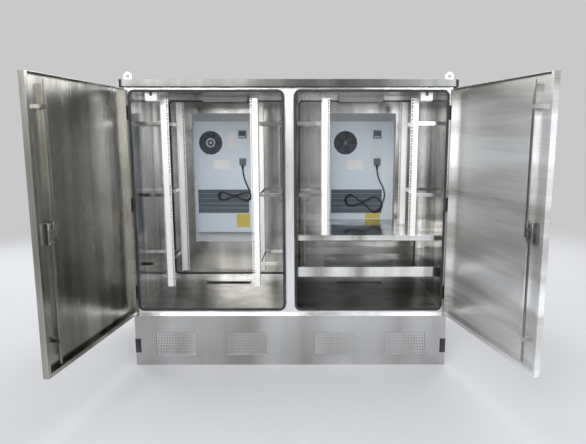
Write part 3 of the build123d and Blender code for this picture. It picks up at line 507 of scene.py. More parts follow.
class Bench:
    """Blender's own modelling tools, used on one piece at a time."""

    @staticmethod
    def clear() -> None:
        """Deselects everything."""
        bpy.ops.object.select_all(action="DESELECT")

    @classmethod
    def hold(cls, piece: Piece) -> None:
        """Selects one piece alone."""
        cls.clear()
        piece.select_set(True)
        bpy.context.view_layer.objects.active = piece

    @classmethod
    def settle(cls, piece: Piece, name: str) -> Piece:
        """Names a piece and puts its place into its mesh."""
        cls.hold(piece)
        bpy.ops.object.transform_apply(location=True, rotation=True, scale=True)
        piece.name = name
        piece.data.name = name
        return piece

    @classmethod
    def block(cls, name: str, x: Span, y: Span, z: Span) -> Piece:
        """A block between two planes along each axis."""
        cls.clear()
        start, end = Vector((x[0], y[0], z[0])), Vector((x[1], y[1], z[1]))
        bpy.ops.mesh.primitive_cube_add(size=1.0, location=(start + end) / 2)
        piece = bpy.context.object
        piece.scale = end - start
        return cls.settle(piece, name)

    @classmethod
    def sheet(cls, name: str, x: Span, z: Span, y: float, columns: int = 1, rows: int = 1) -> Piece:
        """A flat shape that faces along Y, divided into cells.

        Args:
            name: The piece's name.
            x: Its two sides.
            z: Its foot and its head.
            y: Where its plane is.
            columns: How many cells it has along X.
            rows: How many cells it has along Z.

        Returns:
            The flat shape.
        """
        cls.clear()
        bpy.ops.mesh.primitive_grid_add(
            x_subdivisions=columns, y_subdivisions=rows, size=1.0,
            location=(sum(x) / 2, y, sum(z) / 2), rotation=(math.pi / 2, 0.0, 0.0),
        )
        piece = bpy.context.object
        piece.scale = (x[1] - x[0], z[1] - z[0], 1.0)
        return cls.settle(piece, name)

    @classmethod
    def bar(cls, name: str, start: Point, end: Point, radius: float, sides: int = 24) -> Piece:
        """A round bar from one point to another.

        Args:
            name: The piece's name.
            start: The middle of its first end.
            end: The middle of its other end.
            radius: Its radius.
            sides: How many faces go round it.

        Returns:
            The new bar.
        """
        cls.clear()
        first, last = Vector(start), Vector(end)
        turn = (last - first).to_track_quat("Z", "Y").to_euler()
        bpy.ops.mesh.primitive_cylinder_add(
            vertices=sides, radius=radius, depth=(last - first).length,
            location=(first + last) / 2, rotation=turn,
        )
        return cls.settle(bpy.context.object, name)

    @classmethod
    def disc(cls, name: str, spot: Span, y: Span, radius: float, sides: int = 32) -> Piece:
        """A round bar along Y.

        Args:
            name: The piece's name.
            spot: Where its axis is, along X and Z.
            y: Where it starts and ends.
            radius: Its radius.
            sides: How many faces go round it.

        Returns:
            The new bar.
        """
        x, z = spot
        return cls.bar(name, (x, y[0], z), (x, y[1], z), radius, sides)

    @classmethod
    def ring(cls, name: str, centre: Point, radius: float, wire: float, sides: int = 48) -> Piece:
        """A round wire ring that faces along Y.

        Args:
            name: The piece's name.
            centre: Its middle.
            radius: From its middle to the middle of the wire.
            wire: The wire's radius.
            sides: How many spans go round it.

        Returns:
            The new ring.
        """
        cls.clear()
        bpy.ops.mesh.primitive_torus_add(
            major_radius=radius, minor_radius=wire, major_segments=sides, minor_segments=8,
            location=centre, rotation=(math.pi / 2, 0.0, 0.0),
        )
        return cls.settle(bpy.context.object, name)

    @classmethod
    @contextmanager
    def edit(cls, piece: Piece, mode: str = "FACE", whole: bool = False) -> Iterator[None]:
        """Opens a piece in edit mode, and closes it at the end.

        Args:
            piece: The piece that is worked on.
            mode: What is selected in it: "VERT", "EDGE" or "FACE".
            whole: Whether all of it is selected at the start, or nothing.

        Yields:
            Nothing. The work is done inside.
        """
        cls.hold(piece)
        bpy.ops.object.mode_set(mode="EDIT")
        bpy.ops.mesh.select_mode(type=mode)
        bpy.ops.mesh.select_all(action="SELECT" if whole else "DESELECT")
        yield
        bpy.ops.object.mode_set(mode="OBJECT")

    @staticmethod
    def pick_faces(piece: Piece, wanted: FaceTest) -> None:
        """Selects the faces whose middle and normal pass a test."""
        mesh = bmesh.from_edit_mesh(piece.data)
        for face in mesh.faces:
            face.select_set(wanted(face.calc_center_median(), face.normal))
        bmesh.update_edit_mesh(piece.data)

    @staticmethod
    def pick_edges(piece: Piece, wanted: EdgeTest) -> None:
        """Selects the edges whose two ends pass a test."""
        mesh = bmesh.from_edit_mesh(piece.data)
        for edge in mesh.edges:
            first, second = edge.verts
            edge.select_set(wanted(first.co, second.co))
        bmesh.update_edit_mesh(piece.data)

    @staticmethod
    def pick_points(piece: Piece, wanted: PointTest) -> None:
        """Selects the points whose place passes a test."""
        mesh = bmesh.from_edit_mesh(piece.data)
        for point in mesh.verts:
            point.select_set(wanted(point.co))
        mesh.select_flush_mode()
        bmesh.update_edit_mesh(piece.data)

    @classmethod
    def thicken(cls, piece: Piece, depth: float) -> Piece:
        """Draws a flat shape out along Y into a solid."""
        with cls.edit(piece, whole=True):
            bpy.ops.mesh.extrude_region_move(TRANSFORM_OT_translate={"value": (0.0, depth, 0.0)})
            bpy.ops.mesh.select_all(action="SELECT")
            bpy.ops.mesh.normals_make_consistent(inside=False)
        return piece

    @classmethod
    def slab(cls, name: str, x: Span, z: Span, y: Span, radius: float) -> Piece:
        """A plate that faces along Y, with rounded corners.

        Args:
            name: The piece's name.
            x: Its two sides.
            z: Its foot and its head.
            y: Its two faces.
            radius: The radius of its corners.

        Returns:
            The new plate.
        """
        piece = cls.sheet(name, x, z, y[0])
        with cls.edit(piece, "VERT", whole=True):
            bpy.ops.mesh.bevel(offset=radius, segments=8, affect="VERTICES")
        return cls.thicken(piece, y[1] - y[0])

    @classmethod
    def perforated(cls, name: str, x: Span, z: Span, y: Span, pitch: float, web: float) -> Piece:
        """A sheet that faces along Y, full of small round holes.

        Args:
            name: The piece's name.
            x: The two sides of the field of holes.
            z: Its foot and its head.
            y: The sheet's two faces.
            pitch: From the middle of one hole to the next, about.
            web: What is left between two holes.

        Returns:
            The new sheet.
        """
        columns, rows = round((x[1] - x[0]) / pitch), round((z[1] - z[0]) / pitch)
        step_x, step_z = (x[1] - x[0]) / columns, (z[1] - z[0]) / rows
        piece = cls.sheet(name, x, z, y[0], columns, rows)

        def in_hole(middle: Vector, normal: Vector) -> bool:
            """Whether a face fills a hole: its middle is that of its cell."""
            across = ((middle.x - x[0]) / step_x) % 1.0 - 0.5
            along = ((middle.z - z[0]) / step_z) % 1.0 - 0.5
            return max(abs(across), abs(along)) < 0.08

        with cls.edit(piece, whole=True):
            bpy.ops.mesh.inset(thickness=web / 2, use_individual=True)
            bpy.ops.mesh.bevel(offset=(pitch - web) * 0.29, segments=1, affect="VERTICES")
            cls.pick_faces(piece, in_hole)
            bpy.ops.mesh.delete(type="FACE")
        return cls.thicken(piece, y[1] - y[0])

    @classmethod
    def screw(cls, radius: float) -> Piece:
        """A round screw head with a hexagon socket, standing on the origin."""
        head = cls.bar("screw", (0.0, 0.0, 0.0), (0.0, 0.0, radius * 0.6), radius, 16)
        socket = cls.bar(
            "socket", (0.0, 0.0, radius * 0.25), (0.0, 0.0, radius), radius * 0.5, 6
        )
        cls.cut(head, socket)
        return cls.soften(head, radius * 0.14, 2, 50)

    @classmethod
    def scatter(cls, name: str, master: Piece, spots: Sequence[Point], aim: Point) -> Piece:
        """Copies of one small piece, all pointing one way, as one piece.

        Args:
            name: The name of the whole.
            master: What is copied. It stands on the origin, and it is removed.
            spots: Where the copies stand.
            aim: Which way they point.

        Returns:
            The joined copies.
        """
        turn = Vector(aim).to_track_quat("Z", "Y").to_matrix().to_4x4()
        twins = [cls.copy(master, name, Matrix.Translation(spot) @ turn) for spot in spots]
        bpy.data.objects.remove(master)
        return cls.join(name, twins)

    @classmethod
    def modify(cls, piece: Piece, kind: str, **settings: object) -> Piece:
        """Adds a modifier, sets it up and applies it.

        Args:
            piece: The piece that it changes.
            kind: The modifier's type.
            **settings: What it is set to.

        Returns:
            The same piece.
        """
        cls.hold(piece)
        modifier = piece.modifiers.new(kind.lower(), kind)
        for name, value in settings.items():
            setattr(modifier, name, value)
        bpy.ops.object.modifier_apply(modifier=modifier.name)
        return piece

    @classmethod
    def soften(cls, piece: Piece, width: float, steps: int = 2, angle: float = 35.0) -> Piece:
        """Rounds a piece's edges and shades it smooth between them."""
        cls.modify(
            piece, "BEVEL", width=width, segments=steps, limit_method="ANGLE",
            angle_limit=math.radians(angle),
        )
        return cls.smooth(piece, angle)

    @classmethod
    def smooth(cls, piece: Piece, angle: float = 35.0) -> Piece:
        """Shades a piece smooth except over its sharp edges."""
        cls.hold(piece)
        bpy.ops.object.shade_smooth_by_angle(angle=math.radians(angle))
        return piece

    @classmethod
    def level(cls, piece: Piece) -> Piece:
        """Keeps flat faces flat where smooth shading runs round their edges."""
        return cls.modify(piece, "WEIGHTED_NORMAL", keep_sharp=True)

    @classmethod
    def cut(cls, piece: Piece, cutter: Piece) -> Piece:
        """Takes one piece's shape out of another and removes the cutter."""
        cls.modify(piece, "BOOLEAN", operation="DIFFERENCE", solver="EXACT", object=cutter)
        bpy.data.objects.remove(cutter)
        return piece

    @classmethod
    def array(cls, piece: Piece, step: Point, count: int) -> Piece:
        """Repeats a piece's shape at even steps."""
        return cls.modify(
            piece, "ARRAY", use_relative_offset=False, use_constant_offset=True,
            constant_offset_displace=step, count=count,
        )

    @classmethod
    def join(cls, name: str, pieces: Sequence[Piece]) -> Piece:
        """Makes one piece of several."""
        cls.hold(pieces[0])
        for piece in pieces[1:]:
            piece.select_set(True)
        bpy.ops.object.join()
        pieces[0].name = name
        pieces[0].data.name = name
        return pieces[0]

    @staticmethod
    def copy(piece: Piece, name: str, move: Matrix) -> Piece:
        """A copy with its own mesh, moved, turned or mirrored.

        Args:
            piece: What is copied.
            name: The copy's name.
            move: How the copy's mesh is placed.

        Returns:
            The copy.
        """
        twin = piece.copy()
        twin.data = piece.data.copy()
        twin.name = name
        twin.data.name = name
        bpy.context.scene.collection.objects.link(twin)
        twin.data.transform(move)
        if move.determinant() < 0:
            twin.data.flip_normals()
        return twin

    @classmethod
    def from_node(cls, node: str, name: str) -> Piece:
        """A copy of a node of the model, its triangles merged back into whole faces."""
        twin = bpy.data.objects.new(name, frame["nodes"][node].data.copy())
        bpy.context.scene.collection.objects.link(twin)
        twin.data.materials.clear()
        with cls.edit(twin, "VERT", whole=True):
            bpy.ops.mesh.remove_doubles(threshold=1e-6)
            bpy.ops.mesh.customdata_custom_splitnormals_clear()
            bpy.ops.mesh.dissolve_limited(angle_limit=math.radians(0.5))
        return twin


IDENTITY = Matrix.Identity(4)
MIRROR_X = Matrix.Diagonal((-1.0, 1.0, 1.0, 1.0))
MIRROR_Y = Matrix.Diagonal((1.0, -1.0, 1.0, 1.0))
FACES = (("front", IDENTITY), ("rear", MIRROR_Y))
BAYS = ((-1, "left"), (1, "right"))
OPENING_X: Span = (32.5 * MM, 843 * MM)
OPENING_Z: Span = (326 * MM, 1521 * MM)
OPENING_RADIUS = 28 * MM
HINGE: Point = (0.868, -0.405, 0.0)
LEFT_OPENING = 96.7
RIGHT_OPENING = 102.2
COOLER_X = 450 * MM
COOLER_FACE = 335 * MM
LOCK_X = 84 * MM


def spread(middle: float, half: float) -> Span:
    """The span that reaches as far to either side of a middle."""
    return middle - half, middle + half


def shift(x: float) -> Matrix:
    """A move along X."""
    return Matrix.Translation((x, 0.0, 0.0))


def within(
    x: Span | None = None, y: Span | None = None, z: Span | None = None, home: Matrix = IDENTITY
) -> FaceTest:
    """Finds the faces whose middle lies between given planes.

    Args:
        x: The planes along X, or nothing for no limit.
        y: The planes along Y.
        z: The planes along Z.
        home: Takes the piece back to where the planes are measured.

    Returns:
        The test of a face.
    """
    def test(middle: Vector, normal: Vector) -> bool:
        """Whether a face's middle lies between all the planes."""
        spans = zip(home @ middle, (x, y, z))
        return all(not span or span[0] < at < span[1] for at, span in spans)

    return test


class Door(Enum):
    """The four doors, each by the start of its nodes' and bodies' names."""

    FRONT_LEFT = "front_left"
    FRONT_RIGHT = "front_right"
    REAR_LEFT = "rear_left"
    REAR_RIGHT = "rear_right"

    @property
    def at_back(self) -> bool:
        """Whether the door is one of those that carry an air conditioner."""
        return self.value.startswith("rear")

    @property
    def side(self) -> int:
        """-1 for a left door and 1 for a right one."""
        return -1 if self.value.endswith("left") else 1

    @property
    def mirror(self) -> Matrix:
        """Takes a piece drawn in the right front opening to this door's opening."""
        across = MIRROR_X if self.side < 0 else IDENTITY
        return across @ MIRROR_Y if self.at_back else across

    @property
    def move(self) -> Matrix:
        """Takes a piece drawn on the closed right front door to this door."""
        if self.at_back:
            return self.mirror
        opening = math.radians(RIGHT_OPENING if self.side > 0 else LEFT_OPENING)
        hinge = Matrix.Translation(HINGE)
        return self.mirror @ hinge @ Matrix.Rotation(opening, 4, "Z") @ hinge.inverted()


REAR_DOORS = (Door.REAR_LEFT, Door.REAR_RIGHT)


@dataclass(frozen=True)
class Place:
    """Where a copy of a repeated piece goes, and what it stands for."""

    name: str
    move: Matrix
    body: str
    nodes: tuple[str, ...] = ()


Zone = tuple[Finish, FaceTest]


def on_door(door: Door, move: Matrix, part: str, node: str | None, body: str) -> Place:
    """The place of one copy on a door.

    Args:
        door: The door.
        move: Takes the piece to the door.
        part: What the copy is called after its door.
        node: The node that the copy stands for, without its door.
        body: The body that the copy moves with, without its door.

    Returns:
        The place.
    """
    name = door.value
    return Place(f"{name}_{part}", move, f"{name}_{body}", (f"{name}_{node}",) if node else ())


def on_doors(part: str, node: str | None = None, body: str = "door") -> list[Place]:
    """A place on each door, for a piece that is drawn on the closed right front door."""
    return [on_door(door, door.move, part, node, body) for door in Door]


def on_coolers(part: str, node: str | None = None, body: str = "door") -> list[Place]:
    """A place on each rear door, for a piece that is drawn about x = 0 at the back."""
    return [on_door(door, shift(door.side * COOLER_X), part, node, body) for door in REAR_DOORS]


class Catalogue:
    """Finishes each new piece: its look, its body, and what it stands for."""

    @classmethod
    def repeat(
        cls, master: Piece, finish: Finish, slot: str, places: Sequence[Place],
        zones: Sequence[Zone] = (),
    ) -> None:
        """Takes a copy of a piece into the cabinet at each of its places.

        Args:
            master: The piece that is copied. It is removed at the end.
            finish: Its look.
            slot: The record's finish that it follows.
            places: Where the copies go.
            zones: Other looks of some of its faces.
        """
        finish.dress(master)
        for look, wanted in zones:
            look.cover(master, wanted)
        for place in places:
            twin = Bench.copy(master, place.name, place.move)
            cls.add(twin, None, place.body, slot, place.nodes)
        bpy.data.objects.remove(master)

    @staticmethod
    def add(
        piece: Piece, finish: Finish | None, body: str, slot: str | None = None,
        nodes: Iterable[str] = (),
    ) -> Piece:
        """Takes a piece into the cabinet.

        Args:
            piece: The finished shape.
            finish: Its look, or nothing where it has its look already.
            body: The body that it moves with.
            slot: The record's finish that it follows. Not used.
            nodes: The model's nodes that it stands for.

        Returns:
            The same piece.
        """
        if finish:
            finish.dress(piece)
        if piece.type == "MESH":
            Bench.level(piece)
        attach(piece, body)
        if nodes:
            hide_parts(*nodes)
        faces = len(piece.data.polygons) if piece.type == "MESH" else 0
        LOG.info("%s on %s, %d faces", piece.name, body, faces)
        return piece


# Power leads

@dataclass
class LeadRoute:
    """Where one lead runs: its points down to the hank, and the hank's two folds."""

    door: Door
    points: tuple[Point, ...]
    folds: tuple[tuple[float, float, float], tuple[float, float, float]]
    length: float


@dataclass
class PowerLeads:
    """The two air conditioners' leads, each with its tied hank."""

    diameter: float = 8 * MM
    layer: float = 8.05 * MM
    front: float = 314.9 * MM
    turns: int = 2
    strand_gap: float = 4.6 * MM
    fan_out: float = 4.5 * MM
    relief_length: float = 26 * MM
    strap_width: float = 14 * MM
    strap_depth: Span = (311 * MM, 334.6 * MM)
    strap_slack: float = 1.2 * MM
    strap_edge: float = 2 * MM
    sleeve_taper: float = 0.68
    sleeve_edge: float = 0.6 * MM
    arc_step: int = -35
    tie_reach: float = 14 * MM
    tie_clear: float = 20 * MM
    routes: tuple[LeadRoute, ...] = (
        LeadRoute(
            Door.REAR_LEFT,
            ((-0.343, 0.322, 1.093), (-0.343, 0.322, 1.05), (-0.332, 0.321, 0.995),
             (-0.311, 0.318, 0.95), (-0.296, 0.3155, 0.912)),
            ((-0.482, 0.886, 0.027), (-0.319, 0.885, 0.029)),
            1.02,
        ),
        LeadRoute(
            Door.REAR_RIGHT,
            ((0.557, 0.322, 1.093), (0.557, 0.322, 1.048), (0.574, 0.321, 0.99),
             (0.604, 0.319, 0.938), (0.613, 0.317, 0.885), (0.597, 0.315, 0.842)),
            ((0.386, 0.857, 0.038), (0.542, 0.829, 0.054)),
            1.30,
        ),
    )

    def arc(self, x: float, z: float, radius: float, start: int, stop: int) -> list[Span]:
        """Points round one fold of the hank, clockwise.

        Args:
            x: The fold's middle along X.
            z: Its middle along Z.
            radius: Its radius.
            start: The angle of the first point, in degrees.
            stop: The angle that the last point stays above.

        Returns:
            The points, along X and Z.
        """
        turns = [math.radians(degrees) for degrees in range(start, stop, self.arc_step)]
        return [(x + radius * math.cos(turn), z + radius * math.sin(turn)) for turn in turns]

    def turn_points(self, route: LeadRoute) -> list[Point]:
        """The hank's turns, wound clockwise from its right fold and drifting to the back."""
        left, right = route.folds
        tie_x, tie_z = (left[0] + right[0]) / 2, (left[1] + right[1]) / 2
        near, far = spread(tie_x, self.tie_reach)
        low, high = spread(tie_z, self.strand_gap)
        lap = [
            *self.arc(*right, 0, -106), (far, low), (near, low), *self.arc(*left, -75, -286),
            (near, high), (far, high), *self.arc(*right, 105, 34),
        ]
        points = []
        for i in range(self.turns * len(lap) - 5):
            x, z = lap[i % len(lap)]
            fan = self.fan_out if i >= len(lap) else -self.fan_out
            slack = fan if abs(x - tie_x) > self.tie_clear else 0.0
            spot = Vector((x - tie_x, z - tie_z))
            spot += spot.normalized() * slack
            depth = self.front + self.layer * i / len(lap)
            points.append((tie_x + spot.x, depth, tie_z + spot.y))
        return points

    def lead(self, route: LeadRoute) -> Piece:
        """One lead as a single smooth line with a round section."""
        name = f"{route.door.value}_lead"
        curve = bpy.data.curves.new(name, "CURVE")
        curve.dimensions = "3D"
        curve.resolution_u = 6
        curve.bevel_depth = self.diameter / 2
        curve.bevel_resolution = 3
        curve.use_fill_caps = True
        spline = curve.splines.new("NURBS")
        points = [*route.points, *self.turn_points(route)]
        spline.points.add(len(points) - 1)
        for knot, point in zip(spline.points, points):
            knot.co = (*point, 1.0)
        spline.order_u = 3
        spline.use_endpoint_u = True
        piece = bpy.data.objects.new(name, curve)
        bpy.context.scene.collection.objects.link(piece)
        return piece

    def relief(self, route: LeadRoute) -> Piece:
        """The tapered sleeve that the lead leaves its gland through."""
        x, y, z = route.points[0]
        low = z - self.relief_length
        name = f"{route.door.value}_lead_sleeve"
        sleeve = Bench.bar(name, (x, y, z), (x, y, low), self.diameter * 0.95, 20)
        with Bench.edit(sleeve):
            Bench.pick_faces(sleeve, lambda middle, normal: normal.z < -0.9)
            taper = (self.sleeve_taper, self.sleeve_taper, 1.0)
            bpy.ops.transform.resize(value=taper, center_override=(x, y, low))
            Bench.pick_faces(sleeve, lambda middle, normal: abs(normal.z) < 0.5)
            bpy.ops.mesh.subdivide(number_cuts=4)
        return Bench.soften(sleeve, self.sleeve_edge, 2, 50)

    def strap(self, route: LeadRoute) -> Piece:
        """The tie round the middle of the hank."""
        (ax, az, _), (bx, bz, _) = route.folds
        strap = Bench.block(
            f"{route.door.value}_lead_strap", spread((ax + bx) / 2, self.strap_width / 2),
            self.strap_depth,
            spread((az + bz) / 2, self.strand_gap + self.diameter / 2 + self.strap_slack),
        )
        with Bench.edit(strap):
            Bench.pick_faces(strap, lambda middle, normal: abs(normal.x) > 0.9)
            bpy.ops.mesh.inset(thickness=1.6 * MM, depth=-1.2 * MM)
        return Bench.soften(strap, self.strap_edge, 3)

    def build(self) -> None:
        """Makes both leads with their sleeves and ties."""
        for route in self.routes:
            name = route.door.value
            body = f"{name}_door"
            lead = self.lead(route)
            sleeve = Catalogue.add(self.relief(route), LEAD_RUBBER, body, "lead_rubber")
            strap = Catalogue.add(self.strap(route), LEAD_RUBBER, body, "lead_rubber")
            nodes = (f"{name}_power_lead", f"{name}_lead_hank")
            Catalogue.add(lead, LEAD_RUBBER, body, "lead_rubber", nodes)


# Camera, light and floor

@dataclass
class Studio:
    """The camera, the soft lamps, the pale floor and the backdrop."""

    camera_place: Point = (0.1225, -3.448, 1.287)
    pitch: float = 9.45
    yaw: float = -0.15
    lens: float = 34.4
    shift: tuple[float, float] = (-0.035, 0.012)
    sensor: float = 36.0
    backdrop: Colour = (0.58, 0.58, 0.585)
    shown_to: tuple[str, ...] = ("Camera", "Transmission", "Glossy")
    ambient: Colour = (0.80, 0.84, 0.90)
    ambient_strength: float = 0.62
    floor_colour: Colour = (0.60, 0.60, 0.605)
    floor_radius: float = 40.0
    lamps: tuple[tuple[str, Point, Point, float, float, Colour], ...] = (
        ("key", (-1.7, -5.4, 3.0), (0.0, 0.0, 0.9), 2.6, 185.0, (1.0, 0.99, 0.97)),
        ("fill", (2.4, -5.2, 2.1), (0.0, 0.0, 0.9), 2.2, 92.0, (0.95, 0.97, 1.0)),
        ("top", (0.0, 0.4, 5.2), (0.0, 0.0, 0.0), 4.0, 115.0, (0.97, 0.98, 1.0)),
        ("back_key", (2.8, 4.4, 3.8), (0.0, 0.0, 0.8), 3.2, 150.0, (1.0, 1.0, 1.0)),
        ("back_fill", (-3.8, 3.0, 2.4), (0.0, 0.0, 0.8), 2.4, 70.0, (0.95, 0.97, 1.0)),
    )

    def camera(self) -> None:
        """Puts the camera where the photograph was taken from."""
        data = bpy.data.cameras.new("camera")
        data.lens = self.lens
        data.sensor_width = self.sensor
        data.shift_x, data.shift_y = self.shift
        data.clip_start, data.clip_end = 0.05, 100.0
        camera = bpy.data.objects.new("camera", data)
        bpy.context.scene.collection.objects.link(camera)
        camera.location = self.camera_place
        camera.rotation_euler = Euler(
            (math.radians(90.0 - self.pitch), 0.0, math.radians(self.yaw))
        )
        bpy.context.scene.camera = camera

    def lights(self) -> None:
        """Hangs the square soft lamps round the cabinet."""
        for name, place, target, size, power, colour in self.lamps:
            data = bpy.data.lights.new(name, "AREA")
            data.shape = "SQUARE"
            data.size = size
            data.energy = power
            data.color = colour
            lamp = bpy.data.objects.new(name, data)
            bpy.context.scene.collection.objects.link(lamp)
            lamp.location = place
            aim = Vector(target) - Vector(place)
            lamp.rotation_euler = aim.to_track_quat("-Z", "Y").to_euler()

    def sky(self) -> None:
        """Even light from all round, with the plain backdrop where it is seen or mirrored."""
        graph = Graph(bpy.data.worlds.new("backdrop"))
        bpy.context.scene.world = graph.owner
        rays = [graph.add("LightPath", {}, f"Is {ray} Ray") for ray in self.shown_to]
        shown = graph.sum_of("MAXIMUM", graph.sum_of("MAXIMUM", rays[0], rays[1]), rays[2])
        light = {"Color": (*self.ambient, 1.0), "Strength": self.ambient_strength}
        soft = graph.add("Background", light)
        plain = graph.add("Background", {"Color": (*self.backdrop, 1.0)})
        graph.show(graph.add("MixShader", {0: shown, 1: soft, 2: plain}), "World")

    def floor(self) -> None:
        """A round pale floor, wide enough to meet the backdrop."""
        Bench.clear()
        bpy.ops.mesh.primitive_circle_add(
            vertices=64, radius=self.floor_radius, fill_type="NGON"
        )
        floor = Bench.settle(bpy.context.object, "floor")
        PaleFloor("pale_floor", self.floor_colour, self.backdrop).dress(floor)

    def build(self) -> None:
        """Makes the camera, the lamps, the backdrop and the floor."""
        self.camera()
        self.lights()
        self.sky()
        self.floor()
        bpy.context.scene.view_settings.view_transform = "Standard"


# Body shell

@dataclass
class DoorGaskets:
    """The rubber bulb seals that grip the lip round each opening."""

    lip_end: float = -415 * MM
    bulb: Span = (-6 * MM, 8 * MM)
    bulb_depth: float = 9.5 * MM
    clip: Span = (-3 * MM, 5 * MM)
    clip_depth: float = 11 * MM
    bulb_edge: float = 3.4 * MM
    clip_edge: float = 1 * MM

    def loop(self, name: str, grow: Span, y: Span) -> Piece:
        """A rounded loop of rubber in the right front opening.

        Args:
            name: The loop's name.
            grow: How far its inner and outer edges lie outside the opening.
            y: Where its near and far faces are.

        Returns:
            The loop.
        """
        inner, outer = grow
        (x0, x1), (z0, z1) = OPENING_X, OPENING_Z
        loop = Bench.sheet(name, (x0 - outer, x1 + outer), (z0 - outer, z1 + outer), y[1])
        with Bench.edit(loop, "VERT", whole=True):
            bpy.ops.mesh.bevel(offset=OPENING_RADIUS + outer, segments=10, affect="VERTICES")
        with Bench.edit(loop, whole=True):
            bpy.ops.mesh.inset(thickness=outer - inner)
            bpy.ops.mesh.delete(type="FACE")
        return Bench.thicken(loop, y[0] - y[1])

    def build(self) -> None:
        """Makes one seal and places it in the four openings."""
        end = self.lip_end
        bulb = self.loop("bulb", self.bulb, (end - self.bulb_depth, end))
        clip = self.loop("clip", self.clip, (end - MM, end + self.clip_depth))
        Bench.soften(bulb, self.bulb_edge, 4, 60)
        Bench.soften(clip, self.clip_edge, 2, 60)
        places = [
            Place(f"{door.value}_gasket", door.mirror, "cabinet", ("door_seals",))
            for door in Door
        ]
        Catalogue.repeat(Bench.join("seal", [bulb, clip]), RUBBER, "black_rubber", places)


@dataclass
class FaceFrames:
    """The face sheets, front and rear, with a folded lip round each opening."""

    half_width: float = 875 * MM
    height: Span = (290 * MM, 1541 * MM)
    face: float = -395 * MM
    thickness: float = 2 * MM
    lip: float = 20 * MM
    edge: float = 0.5 * MM

    def opening(self, name: str, grow: float, y: Span) -> Piece:
        """The right opening as a solid, larger all round by grow."""
        (x0, x1), (z0, z1) = OPENING_X, OPENING_Z
        return Bench.slab(
            name, (x0 - grow, x1 + grow), (z0 - grow, z1 + grow), y, OPENING_RADIUS + grow
        )

    def build(self) -> None:
        """Makes the front sheet with its lips and mirrors it to the back."""
        face, back = self.face, self.face + self.thickness
        sheet = Bench.block("face_sheet", spread(0.0, self.half_width), (face, back), self.height)
        lip = self.opening("lip", self.thickness, (face - self.lip, face))
        Bench.cut(lip, self.opening("hole", 0.0, (face - self.lip - MM, back)))
        hole = self.opening("hole", 0.0, (face - MM, back + MM))
        Bench.cut(sheet, Bench.copy(hole, "left_hole", MIRROR_X))
        Bench.cut(sheet, hole)
        sheet = Bench.join("face_sheet", [sheet, lip, Bench.copy(lip, "left_lip", MIRROR_X)])
        Bench.soften(sheet, self.edge, 2, 50)
        # The face sheets take the brighter copy of the steel: painted light.
        Catalogue.repeat(sheet, LIT_FRAME_STEEL, "stainless_sheet", [
            Place(f"{face}_face_frame", turn, "cabinet", (f"{face}_frame",))
            for face, turn in FACES
        ])


@dataclass
class PlinthVents:
    """Eight perforated plates, each on the inside of a window of the plinth."""

    half_width: float = 125 * MM
    height: Span = (46.5 * MM, 203.5 * MM)
    thickness: Span = (-422 * MM, -420.5 * MM)
    pitch: float = 9 * MM
    web: float = 3.4 * MM
    middles: tuple[float, ...] = (-646 * MM, -248 * MM, 248 * MM, 646 * MM)

    def build(self) -> None:
        """Makes one plate and copies it behind each window."""
        plate = Bench.perforated(
            "vent_plate", spread(0.0, self.half_width), self.height, self.thickness, self.pitch,
            self.web,
        )
        Catalogue.repeat(plate, STAINLESS_DARK, "perforated_sheet", [
            Place(f"{face}_vent_{number}", shift(x) @ turn, "cabinet", ("plinth_vents",))
            for face, turn in FACES
            for number, x in enumerate(self.middles, 1)
        ])


